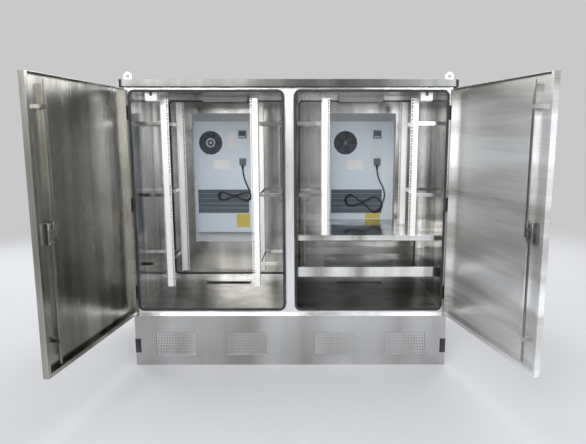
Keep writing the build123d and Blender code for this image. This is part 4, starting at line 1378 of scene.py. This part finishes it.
@dataclass
class RackRails:
    """The eight punched rails that equipment is bolted to, and the bolts of their straps."""

    face: float = 42 * MM
    side: float = 35 * MM
    sheet: float = 2 * MM
    head: float = 1492 * MM
    feet: Span = (425 * MM, 731 * MM)
    middle: float = 445 * MM
    half_opening: float = 225 * MM
    planes: Span = (-295 * MM, 100 * MM)
    hole: float = 9.5 * MM
    hole_edge: float = 7.5 * MM
    unit: float = 44.45 * MM
    in_unit: tuple[float, ...] = (6.35 * MM, 22.225 * MM, 38.1 * MM)
    strap_levels: tuple[float, ...] = (1355 * MM, 955 * MM, 555 * MM)
    strap_sheet: float = 3 * MM
    bolt_depths: Span = (-267 * MM, 72 * MM)
    bolt_radius: float = 6.5 * MM

    def rail(self, name: str, foot: float) -> Piece:
        """A punched rail down to that foot, its inner edge at x = 0 and its face at y = 0."""
        inner, past = self.face - self.sheet, self.side + MM
        rail = Bench.block(name, (0.0, self.face), (0.0, self.side), (foot, self.head))
        Bench.cut(rail, Bench.block(
            "inside", (-MM, inner), (self.sheet, past), (foot - MM, self.head + MM)
        ))
        half = self.hole / 2
        punches = [
            Bench.block(
                "punch", spread(self.hole_edge, half), (-MM, self.sheet + MM),
                spread(foot + level, half),
            )
            for level in self.in_unit
        ]
        units = int((self.head - foot) / self.unit)
        Bench.cut(rail, Bench.array(Bench.join("punch", punches), (0.0, 0.0, self.unit), units))
        return Bench.soften(rail, 0.35 * MM, 1, 50)

    def rails(self) -> None:
        """The four rails of each bay."""
        for (bay, name), foot in zip(BAYS, self.feet):
            places = []
            for side, edge in BAYS:
                for y, (plane, turn) in zip(self.planes, FACES):
                    spot = (bay * self.middle + side * self.half_opening, y, 0.0)
                    across = MIRROR_X if side < 0 else IDENTITY
                    places.append(Place(
                        f"{name}_bay_{plane}_{edge}_rail",
                        Matrix.Translation(spot) @ across @ turn, "cabinet", ("rack_rails",),
                    ))
            Catalogue.repeat(self.rail(f"{name}_bay_rail", foot), ZINC, "zinc_rail", places)

    def bolts(self) -> None:
        """The bolts that hold the straps on the rails' sides."""
        reach = self.half_opening + self.face + self.strap_sheet
        for side, name in BAYS:
            spots = [
                (bay * self.middle + side * reach, y, level)
                for (bay, _), foot in zip(BAYS, self.feet)
                for level in self.strap_levels
                if level > foot
                for y in self.bolt_depths
            ]
            screw = Bench.screw(self.bolt_radius)
            bolts = Bench.scatter(f"{name}_strap_bolts", screw, spots, (float(side), 0.0, 0.0))
            Catalogue.add(bolts, MACHINED, "cabinet", "steel_parts")

    def build(self) -> None:
        """Makes the rails and their bolts."""
        self.rails()
        self.bolts()


@dataclass
class BayLamps:
    """The milky covers of the lamp bars and the rockers of the switch boxes."""

    middle: float = 445 * MM
    half_length: float = 138 * MM
    bar_depth: Span = (284 * MM, 316 * MM)
    cover_height: Span = (1506 * MM, 1512 * MM)
    box_x: float = 735 * MM
    rocker: Span = (7 * MM, 11 * MM)
    rocker_depth: Span = (-394.5 * MM, -391 * MM)
    rocker_level: float = 1508 * MM

    def build(self) -> None:
        """Makes both bays' covers and rockers."""
        for side, bay in BAYS:
            cover = Bench.block(
                f"{bay}_lamp_cover", spread(side * self.middle, self.half_length), self.bar_depth,
                self.cover_height,
            )
            Bench.soften(cover, 4 * MM, 4)
            Catalogue.add(cover, LAMP_COVER, "cabinet", "lamp_plastic")
            half_x, half_z = self.rocker
            rocker = Bench.block(
                f"{bay}_lamp_rocker", spread(side * self.box_x, half_x), self.rocker_depth,
                spread(self.rocker_level, half_z),
            )
            with Bench.edit(rocker):
                Bench.pick_faces(rocker, lambda middle, normal: normal.y < -0.9)
                bpy.ops.mesh.inset(thickness=1.6 * MM, depth=-1.0 * MM)
            Bench.soften(rocker, 0.5 * MM, 2)
            Catalogue.add(rocker, BLACK_LOCK, "cabinet", "black_lock")


@dataclass
class RoundedParts:
    """The parts that keep the model's shape, with their edges rounded."""

    on_cabinet: dict[str, float] = field(default_factory=lambda: {
        "plinth": 1.2 * MM, "corner_plugs": 1.6 * MM, "roof": 1.0 * MM,
        "lifting_eyes": 1.2 * MM, "shelves": 0.7 * MM, "lamps": 2.5 * MM,
        "rail_supports": 0.6 * MM, "hinge_brackets": 1.3 * MM,
    })
    on_door: dict[str, float] = field(default_factory=lambda: {
        "door": 0.7 * MM, "lock_case": 1.2 * MM, "spindle": 0.4 * MM, "lever": 2.4 * MM,
        "upper_rod": 0.6 * MM, "lower_rod": 0.6 * MM, "handle_plate": 1.0 * MM,
        "handle_box": 0.6 * MM, "cover_flap": 0.5 * MM,
    })
    # The front doors' inner faces carry painted reflections: a dark streaked tone on the left door,
    # bright bands on the right.
    painted_reflection_faces: dict[Door, Finish] = field(default_factory=lambda: {
        Door.FRONT_LEFT: DARK_REFLECTION_DOOR, Door.FRONT_RIGHT: BRIGHT_REFLECTION_DOOR,
    })
    room_side: Span = (-426 * MM, math.inf)
    knuckles: Span = (861.2 * MM, math.inf)
    plate: tuple[Span, Span, Span] = (
        (60 * MM, 108 * MM), (-math.inf, -429.2 * MM), (744 * MM, 1006 * MM)
    )

    def rounded(self, node: str, edge: float) -> Piece:
        """A rounded copy of a node, in the node's finish."""
        finish, slot = finish_of(node)
        piece = Bench.soften(Bench.from_node(node, f"{node}_rounded"), edge, 2)
        return Catalogue.add(piece, finish, frame["nodes"][node]["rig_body"], slot, (node,))

    def build(self) -> None:
        """Rounds the cabinet's parts and then each door's."""
        for node, edge in self.on_cabinet.items():
            piece = self.rounded(node, edge)
            if node == "roof":
                # Painted shade on the roof's upright edge faces.
                ROOF_EDGE_SHADE.cover(piece, lambda middle, normal: abs(normal.z) < 0.5)
        for door in Door:
            home = door.move.inverted()
            for part, edge in self.on_door.items():
                node = f"{door.value}_{part}"
                if node not in frame["nodes"]:
                    continue
                piece = self.rounded(node, edge)
                if part == "door":
                    # Painted reflection on the front doors' inner faces.
                    if door in self.painted_reflection_faces:
                        self.painted_reflection_faces[door].cover(piece, within(y=self.room_side, home=home))
                    BLACK_HINGE.cover(piece, within(x=self.knuckles, home=home))
                if part == "handle_box":
                    BLUE_BLACK.cover(piece, within(*self.plate, home=home))


@dataclass
class LockFittings:
    """The bright key cylinders, and the screws of the lever plates and of the lock cases."""

    cylinder_level: float = 985 * MM
    plate_face: float = -431 * MM
    radius: float = 9.2 * MM
    proud: float = 2.4 * MM
    keyway: Span = (0.9 * MM, 5 * MM)
    plate_screw_levels: Span = (758 * MM, 958 * MM)
    plate_screw_radius: float = 4 * MM
    case_face: float = -389 * MM
    case_screw_x: Span = spread(LOCK_X, 13 * MM)
    case_screw_levels: Span = spread(890 * MM, 37 * MM)
    case_screw_radius: float = 3 * MM

    def cylinder(self) -> None:
        """The key cylinder, with its rim and its keyway."""
        front = self.plate_face - self.proud
        cylinder = Bench.disc(
            "cylinder", (LOCK_X, self.cylinder_level), (self.plate_face, front), self.radius
        )
        with Bench.edit(cylinder):
            Bench.pick_faces(cylinder, lambda middle, normal: normal.y < -0.9)
            bpy.ops.mesh.inset(thickness=1.6 * MM)
            bpy.ops.mesh.inset(thickness=0.5 * MM, depth=-0.5 * MM)
        half_x, half_z = self.keyway
        Bench.cut(cylinder, Bench.block(
            "keyway", spread(LOCK_X, half_x), (front - MM, self.plate_face - 0.3 * MM),
            spread(self.cylinder_level, half_z),
        ))
        Bench.soften(cylinder, 0.3 * MM, 2)
        Catalogue.repeat(cylinder, CHROME, "chrome_lever", on_doors("key_cylinder"))

    def screws(self, part: str, spots: Sequence[Point], radius: float, aim: float) -> None:
        """One set of screws on each door.

        Args:
            part: What the set is called after its door.
            spots: Where the screws stand.
            radius: The radius of their heads.
            aim: -1 where they point out of the door and 1 where they point into the bay.
        """
        screws = Bench.scatter(part, Bench.screw(radius), spots, (0.0, aim, 0.0))
        Catalogue.repeat(screws, MACHINED, "steel_parts", on_doors(part))

    def build(self) -> None:
        """Makes the cylinders and the screws of the four doors."""
        self.cylinder()
        on_plate = [(LOCK_X, self.plate_face, level) for level in self.plate_screw_levels]
        self.screws("plate_screws", on_plate, self.plate_screw_radius, -1.0)
        on_case = [(x, self.case_face, level) for x in self.case_screw_x
                   for level in self.case_screw_levels]
        self.screws("lock_screws", on_case, self.case_screw_radius, 1.0)


# Air conditioners and their hoods, drawn at the back about x = 0

@dataclass(frozen=True)
class Fan:
    """Where one of an air conditioner's two fans is, and how large its parts are."""

    part: str
    x: float
    level: float
    depth: Span
    tip: float
    recess: float
    recess_depth: Span
    guard_y: float
    guard_radii: tuple[float, ...]

    @property
    def spot(self) -> Span:
        """Where the fan's axis is, along X and Z."""
        return self.x, self.level

    def holds(self, spot: Vector) -> bool:
        """Whether a point lies in the fan's recess."""
        near = math.hypot(spot.x - self.x, spot.z - self.level) < self.recess
        return near and self.recess_depth[0] < spot.y < self.recess_depth[1]


INNER_FAN = Fan(
    "inner_fan", -104 * MM, 1241 * MM, (341 * MM, 373 * MM), 68 * MM, 78.5 * MM,
    (335.3 * MM, 375.5 * MM), 333.9 * MM, tuple(radius * MM for radius in range(13, 75, 5)),
)
OUTER_FAN = Fan(
    "outer_fan", 106 * MM, 776 * MM, (477 * MM, 514 * MM), 67 * MM, 77.5 * MM,
    (474 * MM, 519.7 * MM), 521.1 * MM, tuple(radius * MM for radius in range(18, 73, 9)),
)
FANS = (INNER_FAN, OUTER_FAN)


@dataclass
class FanWheels:
    """The fan wheels, each with five twisted blades on a round hub."""

    hub: float = 22 * MM
    bore: float = 5.4 * MM
    blades: int = 5
    sheet: float = 1.6 * MM
    pitch: float = 38.0
    twist: float = 26.0

    def blade(self, tip: float, chord: float) -> Piece:
        """One blade along X, about its root's radius from the origin."""
        root = self.hub - 3 * MM
        blade = Bench.sheet("blade", (root, tip), spread(0.0, chord / 2), 0.0, 8, 6)
        outer = tip - 0.1 * MM
        with Bench.edit(blade, "VERT"):
            Bench.pick_points(blade, lambda spot: spot.x > outer and abs(spot.z) > chord * 0.45)
            bpy.ops.mesh.bevel(offset=5 * MM, segments=4, affect="VERTICES")
        Bench.modify(
            blade, "SIMPLE_DEFORM", deform_method="TWIST", deform_axis="X",
            angle=math.radians(self.twist),
        )
        return Bench.modify(blade, "SOLIDIFY", thickness=self.sheet, offset=0.0)

    def wheel(self, fan: Fan) -> None:
        """Makes one fan's wheel and copies it to both rear doors."""
        half = (fan.depth[1] - fan.depth[0]) / 2
        blade = self.blade(fan.tip, 1.5 * half)
        lean = Matrix.Rotation(math.radians(self.pitch), 4, "X")
        turns = [2 * math.pi * i / self.blades for i in range(self.blades)]
        blades = [
            Bench.copy(blade, "blade", Matrix.Rotation(turn, 4, "Y") @ lean) for turn in turns
        ]
        bpy.data.objects.remove(blade)
        hub = Bench.disc("hub", (0.0, 0.0), spread(0.0, half), self.hub, 40)
        Bench.cut(hub, Bench.disc("bore", (0.0, 0.0), spread(0.0, half + MM), self.bore, 24))
        Bench.soften(hub, 2 * MM, 3)
        wheel = Bench.smooth(Bench.join("wheel", [hub, *blades]))
        wheel.data.transform(Matrix.Translation((fan.x, sum(fan.depth) / 2, fan.level)))
        places = on_coolers(f"{fan.part}_wheel", fan.part, fan.part)
        Catalogue.repeat(wheel, FAN_BLACK, "fan_plastic", places)

    def build(self) -> None:
        """Makes the wheels of both fans."""
        for fan in FANS:
            self.wheel(fan)


@dataclass
class FanGuards:
    """The guards of round wires in front of the fans."""

    wire: float = 0.95 * MM
    cap: float = 10 * MM
    spoke_turns: tuple[float, ...] = (0.25, 0.75, 1.25, 1.75)
    pale_radii: tuple[float, float, float] = (9 * MM, 21 * MM, 31 * MM)
    pale_sheet: float = 0.8 * MM

    def guard(self, fan: Fan) -> None:
        """Makes one fan's guard and copies it to both rear doors."""
        middle = Vector((fan.x, fan.guard_y, fan.level))
        wires = [
            Bench.ring("guard", middle, radius, self.wire, 56) for radius in fan.guard_radii
        ]
        for turn in self.spoke_turns:
            reach = Vector((math.cos(turn * math.pi), 0.0, math.sin(turn * math.pi)))
            start, end = middle + reach * self.cap * 0.6, middle + reach * fan.guard_radii[-1]
            wires.append(Bench.bar("spoke", start, end, self.wire, 8))
        cap = Bench.disc("cap", fan.spot, spread(fan.guard_y, self.wire), self.cap)
        Bench.soften(cap, 0.5 * MM, 2)
        guard = Bench.smooth(Bench.join(f"{fan.part}_wires", [*wires, cap]), 50)
        Catalogue.repeat(guard, GUARD_WIRE, "fan_plastic", on_coolers(f"{fan.part}_guard"))

    def pale_ring(self, fan: Fan) -> None:
        """The pale ring and cap that only the left air conditioner has, on its inner guard."""
        spot = (Door.REAR_LEFT.side * COOLER_X + fan.x, fan.level)
        front = fan.guard_y - self.wire
        depth = (front - self.pale_sheet, front)
        cap, inner, outer = self.pale_radii
        ring = Bench.disc("rear_left_pale_ring", spot, depth, outer, 48)
        Bench.cut(ring, Bench.disc("hole", spot, spread(front, MM), inner, 48))
        dot = Bench.disc("dot", spot, depth, cap)
        ring = Bench.soften(Bench.join("rear_left_pale_ring", [ring, dot]), 0.3 * MM, 2)
        Catalogue.add(ring, PALE_WIRE, "rear_left_door", "fan_plastic")

    def build(self) -> None:
        """Makes the guards of both fans, and the pale ring."""
        for fan in FANS:
            self.guard(fan)
        self.pale_ring(INNER_FAN)


@dataclass
class CoolerCase:
    """The air conditioner's case with its painted zones, louvre, display and screws."""

    flange: Span = (422.6 * MM, 425.2 * MM)
    louvre_x: Span = (-198.5 * MM, 144.5 * MM)
    louvre_z: Span = (767 * MM, 928 * MM)
    louvre_zone: tuple[Span, Span, Span] = (
        (-199.5 * MM, 145.5 * MM), (335.2 * MM, 345.5 * MM), (766 * MM, 929 * MM)
    )
    louvre_rows: int = 5
    louvre_bar: float = 6.4 * MM
    slats_per_row: int = 3
    slat_depth: Span = (335.8 * MM, 344 * MM)
    slat_rise: Span = (6.4 * MM, 7.6 * MM)
    slat_drop: float = 5.4 * MM
    pale_x: Span = (-198.5 * MM, 84 * MM)
    pale_z: Span = (940 * MM, 1010 * MM)
    pale_rows: int = 6
    pale_depth: Span = (333.2 * MM, 335.3 * MM)
    pale_share: float = 0.6
    coil_zone: tuple[None, Span, Span] = (None, (507 * MM, math.inf), (961 * MM, math.inf))
    fittings: Span = (-math.inf, 334.8 * MM)
    screen: tuple[Span, Span, Span] = (
        (88 * MM, 128 * MM), (1290 * MM, 1316 * MM), (331.4 * MM, 333 * MM)
    )
    key_x: tuple[float, ...] = (94 * MM, 108 * MM, 122 * MM)
    key_half: float = 4.5 * MM
    key_height: Span = (1277 * MM, 1284 * MM)
    key_depth: Span = (330.8 * MM, 333 * MM)
    screw_radius: float = 3.4 * MM
    screw_x: Span = (214 * MM, 233 * MM)
    case_screws: tuple[int, ...] = (652, 835, 1010, 1190, 1368)
    flange_screws: tuple[int, ...] = (575, 780, 1000, 1215, 1420)

    def in_fan(self, middle: Vector, normal: Vector) -> bool:
        """Whether a face lies in the recess of either fan."""
        return any(fan.holds(middle) for fan in FANS)

    def on_flange(self, middle: Vector, normal: Vector) -> bool:
        """Whether a face is part of the mounting flange."""
        return self.flange[0] < middle.y < self.flange[1] and abs(normal.y) > 0.9

    def case(self) -> None:
        """The case with its rounded edges and its zones of paint."""
        case = Bench.from_node("rear_right_cooler", "case")
        case.data.transform(shift(-COOLER_X))
        Bench.soften(case, 0.9 * MM, 2)
        zones = (
            (CHASSIS_GREY, within(y=(self.flange[1], math.inf))), (COIL, within(*self.coil_zone)),
            (FLANGE_WHITE, self.on_flange), (SLATE, within(*self.louvre_zone)),
            (FAN_BLACK, self.in_fan), (FITTING_GREY, within(y=self.fittings)),
        )
        places = on_coolers("cooler_case", "cooler")
        Catalogue.repeat(case, CASING, "cooler_casing", places, zones)

    def louvre(self) -> None:
        """The slats of the louvre, three between each two bars, and the bars' dark faces."""
        low, high = self.louvre_z
        pitch = (high - low) / self.louvre_rows
        gap = (pitch - self.louvre_bar) / self.slats_per_row
        top = low + self.louvre_bar
        height = (top + self.slat_rise[0], top + self.slat_rise[1])
        slat = Bench.block("slat", self.louvre_x, self.slat_depth, height)
        with Bench.edit(slat, "VERT"):
            Bench.pick_points(slat, lambda spot: spot.y < self.slat_depth[0] + MM)
            bpy.ops.transform.translate(value=(0.0, 0.0, -self.slat_drop))
        Bench.array(slat, (0.0, 0.0, gap), self.slats_per_row)
        bar = Bench.block("bar", self.louvre_x, spread(COOLER_FACE, 0.5 * MM), (low, top))
        louvre = Bench.join("louvre", [slat, bar])
        Bench.array(louvre, (0.0, 0.0, pitch), self.louvre_rows)
        Catalogue.repeat(louvre, SLATE, "cooler_casing", on_coolers("louvre"))

    def pale_slats(self) -> None:
        """The low pressed slats above the dark louvre."""
        low, high = self.pale_z
        pitch = (high - low) / self.pale_rows
        height = (low, low + pitch * self.pale_share)
        slat = Bench.block("pale_slats", self.pale_x, self.pale_depth, height)
        front = COOLER_FACE - MM
        with Bench.edit(slat, "VERT"):
            Bench.pick_points(slat, lambda spot: spot.y < front)
            bpy.ops.transform.resize(
                value=(0.985, 1.0, 0.3), center_override=(sum(self.pale_x) / 2, front, low)
            )
        Bench.soften(slat, 0.4 * MM, 2, 20)
        Bench.array(slat, (0.0, 0.0, pitch), self.pale_rows)
        Catalogue.repeat(slat, CASING, "cooler_casing", on_coolers("pale_slats"))

    def panel(self) -> None:
        """The display's dark screen and its three keys."""
        screen = Bench.slab("screen", *self.screen, 2 * MM)
        Catalogue.repeat(screen, SCREEN, "cooler_casing", on_coolers("screen"))
        keys = [
            Bench.slab("key", spread(x, self.key_half), self.key_height, self.key_depth, 1.5 * MM)
            for x in self.key_x
        ]
        keys = Bench.soften(Bench.join("keys", keys), 0.4 * MM, 2)
        Catalogue.repeat(keys, BLANK_WHITE, "cooler_casing", on_coolers("keys"))

    def screws(self) -> None:
        """The screws round the case's front and along its flange."""
        rows = (
            (self.screw_x[0], COOLER_FACE, self.case_screws),
            (self.screw_x[1], self.flange[0] + 0.4 * MM, self.flange_screws),
        )
        spots = [
            (side * x, y, level * MM)
            for x, y, levels in rows
            for side in (-1, 1)
            for level in levels
        ]
        screw = Bench.screw(self.screw_radius)
        screws = Bench.scatter("case_screws", screw, spots, (0.0, -1.0, 0.0))
        Catalogue.repeat(screws, MACHINED, "steel_parts", on_coolers("case_screws"))

    def build(self) -> None:
        """Makes the case and all that is fixed to it."""
        self.case()
        self.louvre()
        self.pale_slats()
        self.panel()
        self.screws()


@dataclass
class BlankPlates:
    """The plain white and yellow plates on the room side of the air conditioners."""

    depth: Span = (334.4 * MM, 335 * MM)
    radius: float = 4 * MM
    plates: tuple[tuple[Door, str, Finish, Span, Span], ...] = (
        (Door.REAR_LEFT, "data_plate", BLANK_WHITE, (-35, 1095), (54, 31)),
        (Door.REAR_RIGHT, "data_plate", BLANK_WHITE, (-39, 1095), (54, 31)),
        (Door.REAR_LEFT, "side_plate", BLANK_WHITE, (42, 1262), (28, 56)),
        (Door.REAR_LEFT, "yellow_plate", FADED_YELLOW, (104, 716), (44, 46)),
        (Door.REAR_RIGHT, "upper_yellow_plate", FADED_YELLOW, (84, 748), (50, 17)),
        (Door.REAR_RIGHT, "lower_yellow_plate", FADED_YELLOW, (84, 690), (50, 20)),
    )

    def build(self) -> None:
        """Makes each plate where it sits."""
        for door, name, finish, (x, z), (half_x, half_z) in self.plates:
            plate = Bench.slab(
                f"{door.value}_{name}", spread(door.side * COOLER_X + x * MM, half_x * MM),
                spread(z * MM, half_z * MM), self.depth, self.radius,
            )
            Catalogue.add(plate, finish, f"{door.value}_door", "cooler_casing")


@dataclass
class CoolerCoil:
    """The finned coil behind the mesh, with its tubes and its header."""

    half_width: float = 197 * MM
    depth: Span = (508.6 * MM, 519.4 * MM)
    height: Span = (962 * MM, 1383 * MM)
    fin_sheet: float = 0.5 * MM
    fin_pitch: float = 4 * MM
    tube_radius: float = 3.6 * MM
    tube_pitch: float = 26 * MM
    header: float = 34 * MM

    def build(self) -> None:
        """Makes the fins, the tubes through them, and the header."""
        y0, y1 = self.depth
        low, head = self.height
        high = head - self.header
        x = -self.half_width
        fin = Bench.block("fins", (x, x + self.fin_sheet), (y0, y1 - 1.4 * MM), (low, high))
        count = int(2 * self.half_width / self.fin_pitch) + 1
        Bench.array(fin, (self.fin_pitch, 0.0, 0.0), count)
        y, z = (y0 + y1) / 2, low + self.tube_pitch / 2
        tube = Bench.bar("tube", (x, y, z), (-x, y, z), self.tube_radius, 12)
        Bench.array(tube, (0.0, 0.0, self.tube_pitch), int((high - low) / self.tube_pitch))
        coil = Bench.join("coil", [fin, tube])
        Catalogue.repeat(coil, COIL, "cooler_casing", on_coolers("coil_fins"))
        header = Bench.block("header", (x - 3 * MM, 3 * MM - x), self.depth, (high, head))
        Bench.soften(header, 1.2 * MM, 2)
        Catalogue.repeat(header, CHASSIS_GREY, "cooler_casing", on_coolers("coil_header"))


@dataclass
class HoodScreens:
    """The hood, with the woven mesh and the perforated sheet behind its windows."""

    half_width: float = 214 * MM
    border: float = 14 * MM
    depth: Span = (579 * MM, 582 * MM)
    front: float = 584 * MM
    mesh_z: Span = (952 * MM, 1298 * MM)
    sheet_z: Span = (645 * MM, 863 * MM)
    columns: int = 30
    rows: int = 24
    wire: float = 0.74 * MM
    pitch: float = 9 * MM
    web: float = 3.2 * MM
    rivet_radius: float = 3.2 * MM
    rivet_x: float = 229 * MM
    rivet_levels: tuple[int, ...] = (618, 754, 890, 960, 1068, 1176, 1284)

    def strand(self, start: Point, end: Point, spans: int, lift: float) -> Piece:
        """A crimped wire that passes before and behind the wires that it crosses.

        Args:
            start: Where the wire starts.
            end: Where it ends.
            spans: How many crossings apart those are.
            lift: How far it steps out at every second crossing, from lift behind.

        Returns:
            The wire.
        """
        strand = Bench.bar("strand", start, end, self.wire, 6)
        axis = 2 if start[0] == end[0] else 0
        with Bench.edit(strand, "EDGE"):
            Bench.pick_edges(strand, lambda a, b: abs(a[axis] - b[axis]) > MM)
            bpy.ops.mesh.subdivide(number_cuts=spans - 1)
        step = (end[axis] - start[axis]) / spans

        def at_odd(spot: Vector) -> bool:
            """Whether a point lies at every second crossing."""
            return round((spot[axis] - start[axis]) / step) % 2 == 1

        with Bench.edit(strand, "VERT"):
            Bench.pick_points(strand, at_odd)
            bpy.ops.transform.translate(value=(0.0, 2 * lift, 0.0))
            bpy.ops.mesh.select_all(action="SELECT")
            bpy.ops.transform.translate(value=(0.0, -lift, 0.0))
        return strand

    def mesh(self) -> Piece:
        """The woven mesh: upright and level wires that pass over and under each other."""
        y = sum(self.depth) / 2
        low, high = self.mesh_z
        across = 2 * self.half_width / self.columns
        up = (high - low) / self.rows
        x = -self.half_width
        upright = self.strand((x, y, low - up), (x, y, high + up), self.rows + 2, self.wire)
        level = self.strand(
            (x - across, y, low), (across - x, y, low), self.columns + 2, -self.wire
        )
        flip = Matrix.Translation((0.0, 2 * y, 0.0)) @ MIRROR_Y
        next_upright = Bench.copy(upright, "strand", shift(across) @ flip)
        next_level = Bench.copy(level, "strand", Matrix.Translation((0.0, 0.0, up)) @ flip)
        aside, above = (2 * across, 0.0, 0.0), (0.0, 0.0, 2 * up)
        wires = [
            Bench.array(upright, aside, self.columns // 2 + 1),
            Bench.array(next_upright, aside, self.columns // 2),
            Bench.array(level, above, self.rows // 2 + 1),
            Bench.array(next_level, above, self.rows // 2),
        ]
        return Bench.smooth(Bench.join("mesh", wires), 50)

    def rim(self) -> Piece:
        """The flat rim that clamps the mesh."""
        (low, high), back = self.mesh_z, self.depth[0]
        rim = Bench.slab(
            "rim", spread(0.0, self.half_width + self.border),
            (low - self.border, high + self.border), (back - MM, back), 3 * MM,
        )
        hole = Bench.slab(
            "hole", spread(0.0, self.half_width), self.mesh_z, (back - 2 * MM, back + MM), 3 * MM
        )
        return Bench.soften(Bench.cut(rim, hole), 0.3 * MM, 1)

    def hood(self) -> None:
        """The hood itself, with its rivets."""
        hood = Bench.from_node("rear_right_hood", "hood")
        hood.data.transform(shift(-COOLER_X))
        Bench.soften(hood, 1.0 * MM, 2)
        Catalogue.repeat(hood, STAINLESS, "stainless_sheet", on_coolers("rain_hood", "hood"))
        spots = [
            (side * self.rivet_x, self.front, level * MM)
            for side in (-1, 1)
            for level in self.rivet_levels
        ]
        rivet = Bench.bar("rivet", (0.0, 0.0, 0.0), (0.0, 0.0, 1.2 * MM), self.rivet_radius, 16)
        rivets = Bench.scatter("rivets", Bench.soften(rivet, 0.8 * MM, 3), spots, (0.0, 1.0, 0.0))
        Catalogue.repeat(rivets, MACHINED, "steel_parts", on_coolers("hood_rivets"))

    def build(self) -> None:
        """Makes the hoods and what is behind their windows."""
        self.hood()
        screen = Bench.join("screen", [self.mesh(), self.rim()])
        Catalogue.repeat(screen, WIRE, "mesh_wire", on_coolers("mesh_screen", "grilles"))
        (low, high), back = self.sheet_z, self.depth[1]
        sheet = Bench.perforated(
            "sheet", spread(0.0, self.half_width + self.border),
            (low - self.border, high + self.border), (back - 1.5 * MM, back), self.pitch, self.web,
        )
        places = on_coolers("perforated_sheet", "grilles")
        Catalogue.repeat(sheet, STAINLESS_DARK, "perforated_sheet", places)


class CadDress:
    """The finish of every node that is shown as it is."""

    def build(self) -> None:
        """Gives each node its finish."""
        for node, shape in frame["nodes"].items():
            finish_of(node)[0].dress(shape)
        LOG.info("%d nodes dressed", len(frame["nodes"]))


def main() -> None:
    """Builds the studio and the cabinet, piece by piece."""
    logging.basicConfig(level=logging.INFO, format="%(message)s")
    for assembly in (
        Studio, CadDress, PowerLeads, FaceFrames, DoorGaskets, RoundedParts, PlinthVents,
        RackRails, BayLamps, LockFittings, CoolerCase, BlankPlates, FanWheels, FanGuards,
        CoolerCoil, HoodScreens,
    ):
        assembly().build()


if __name__ == "__main__":
    main()
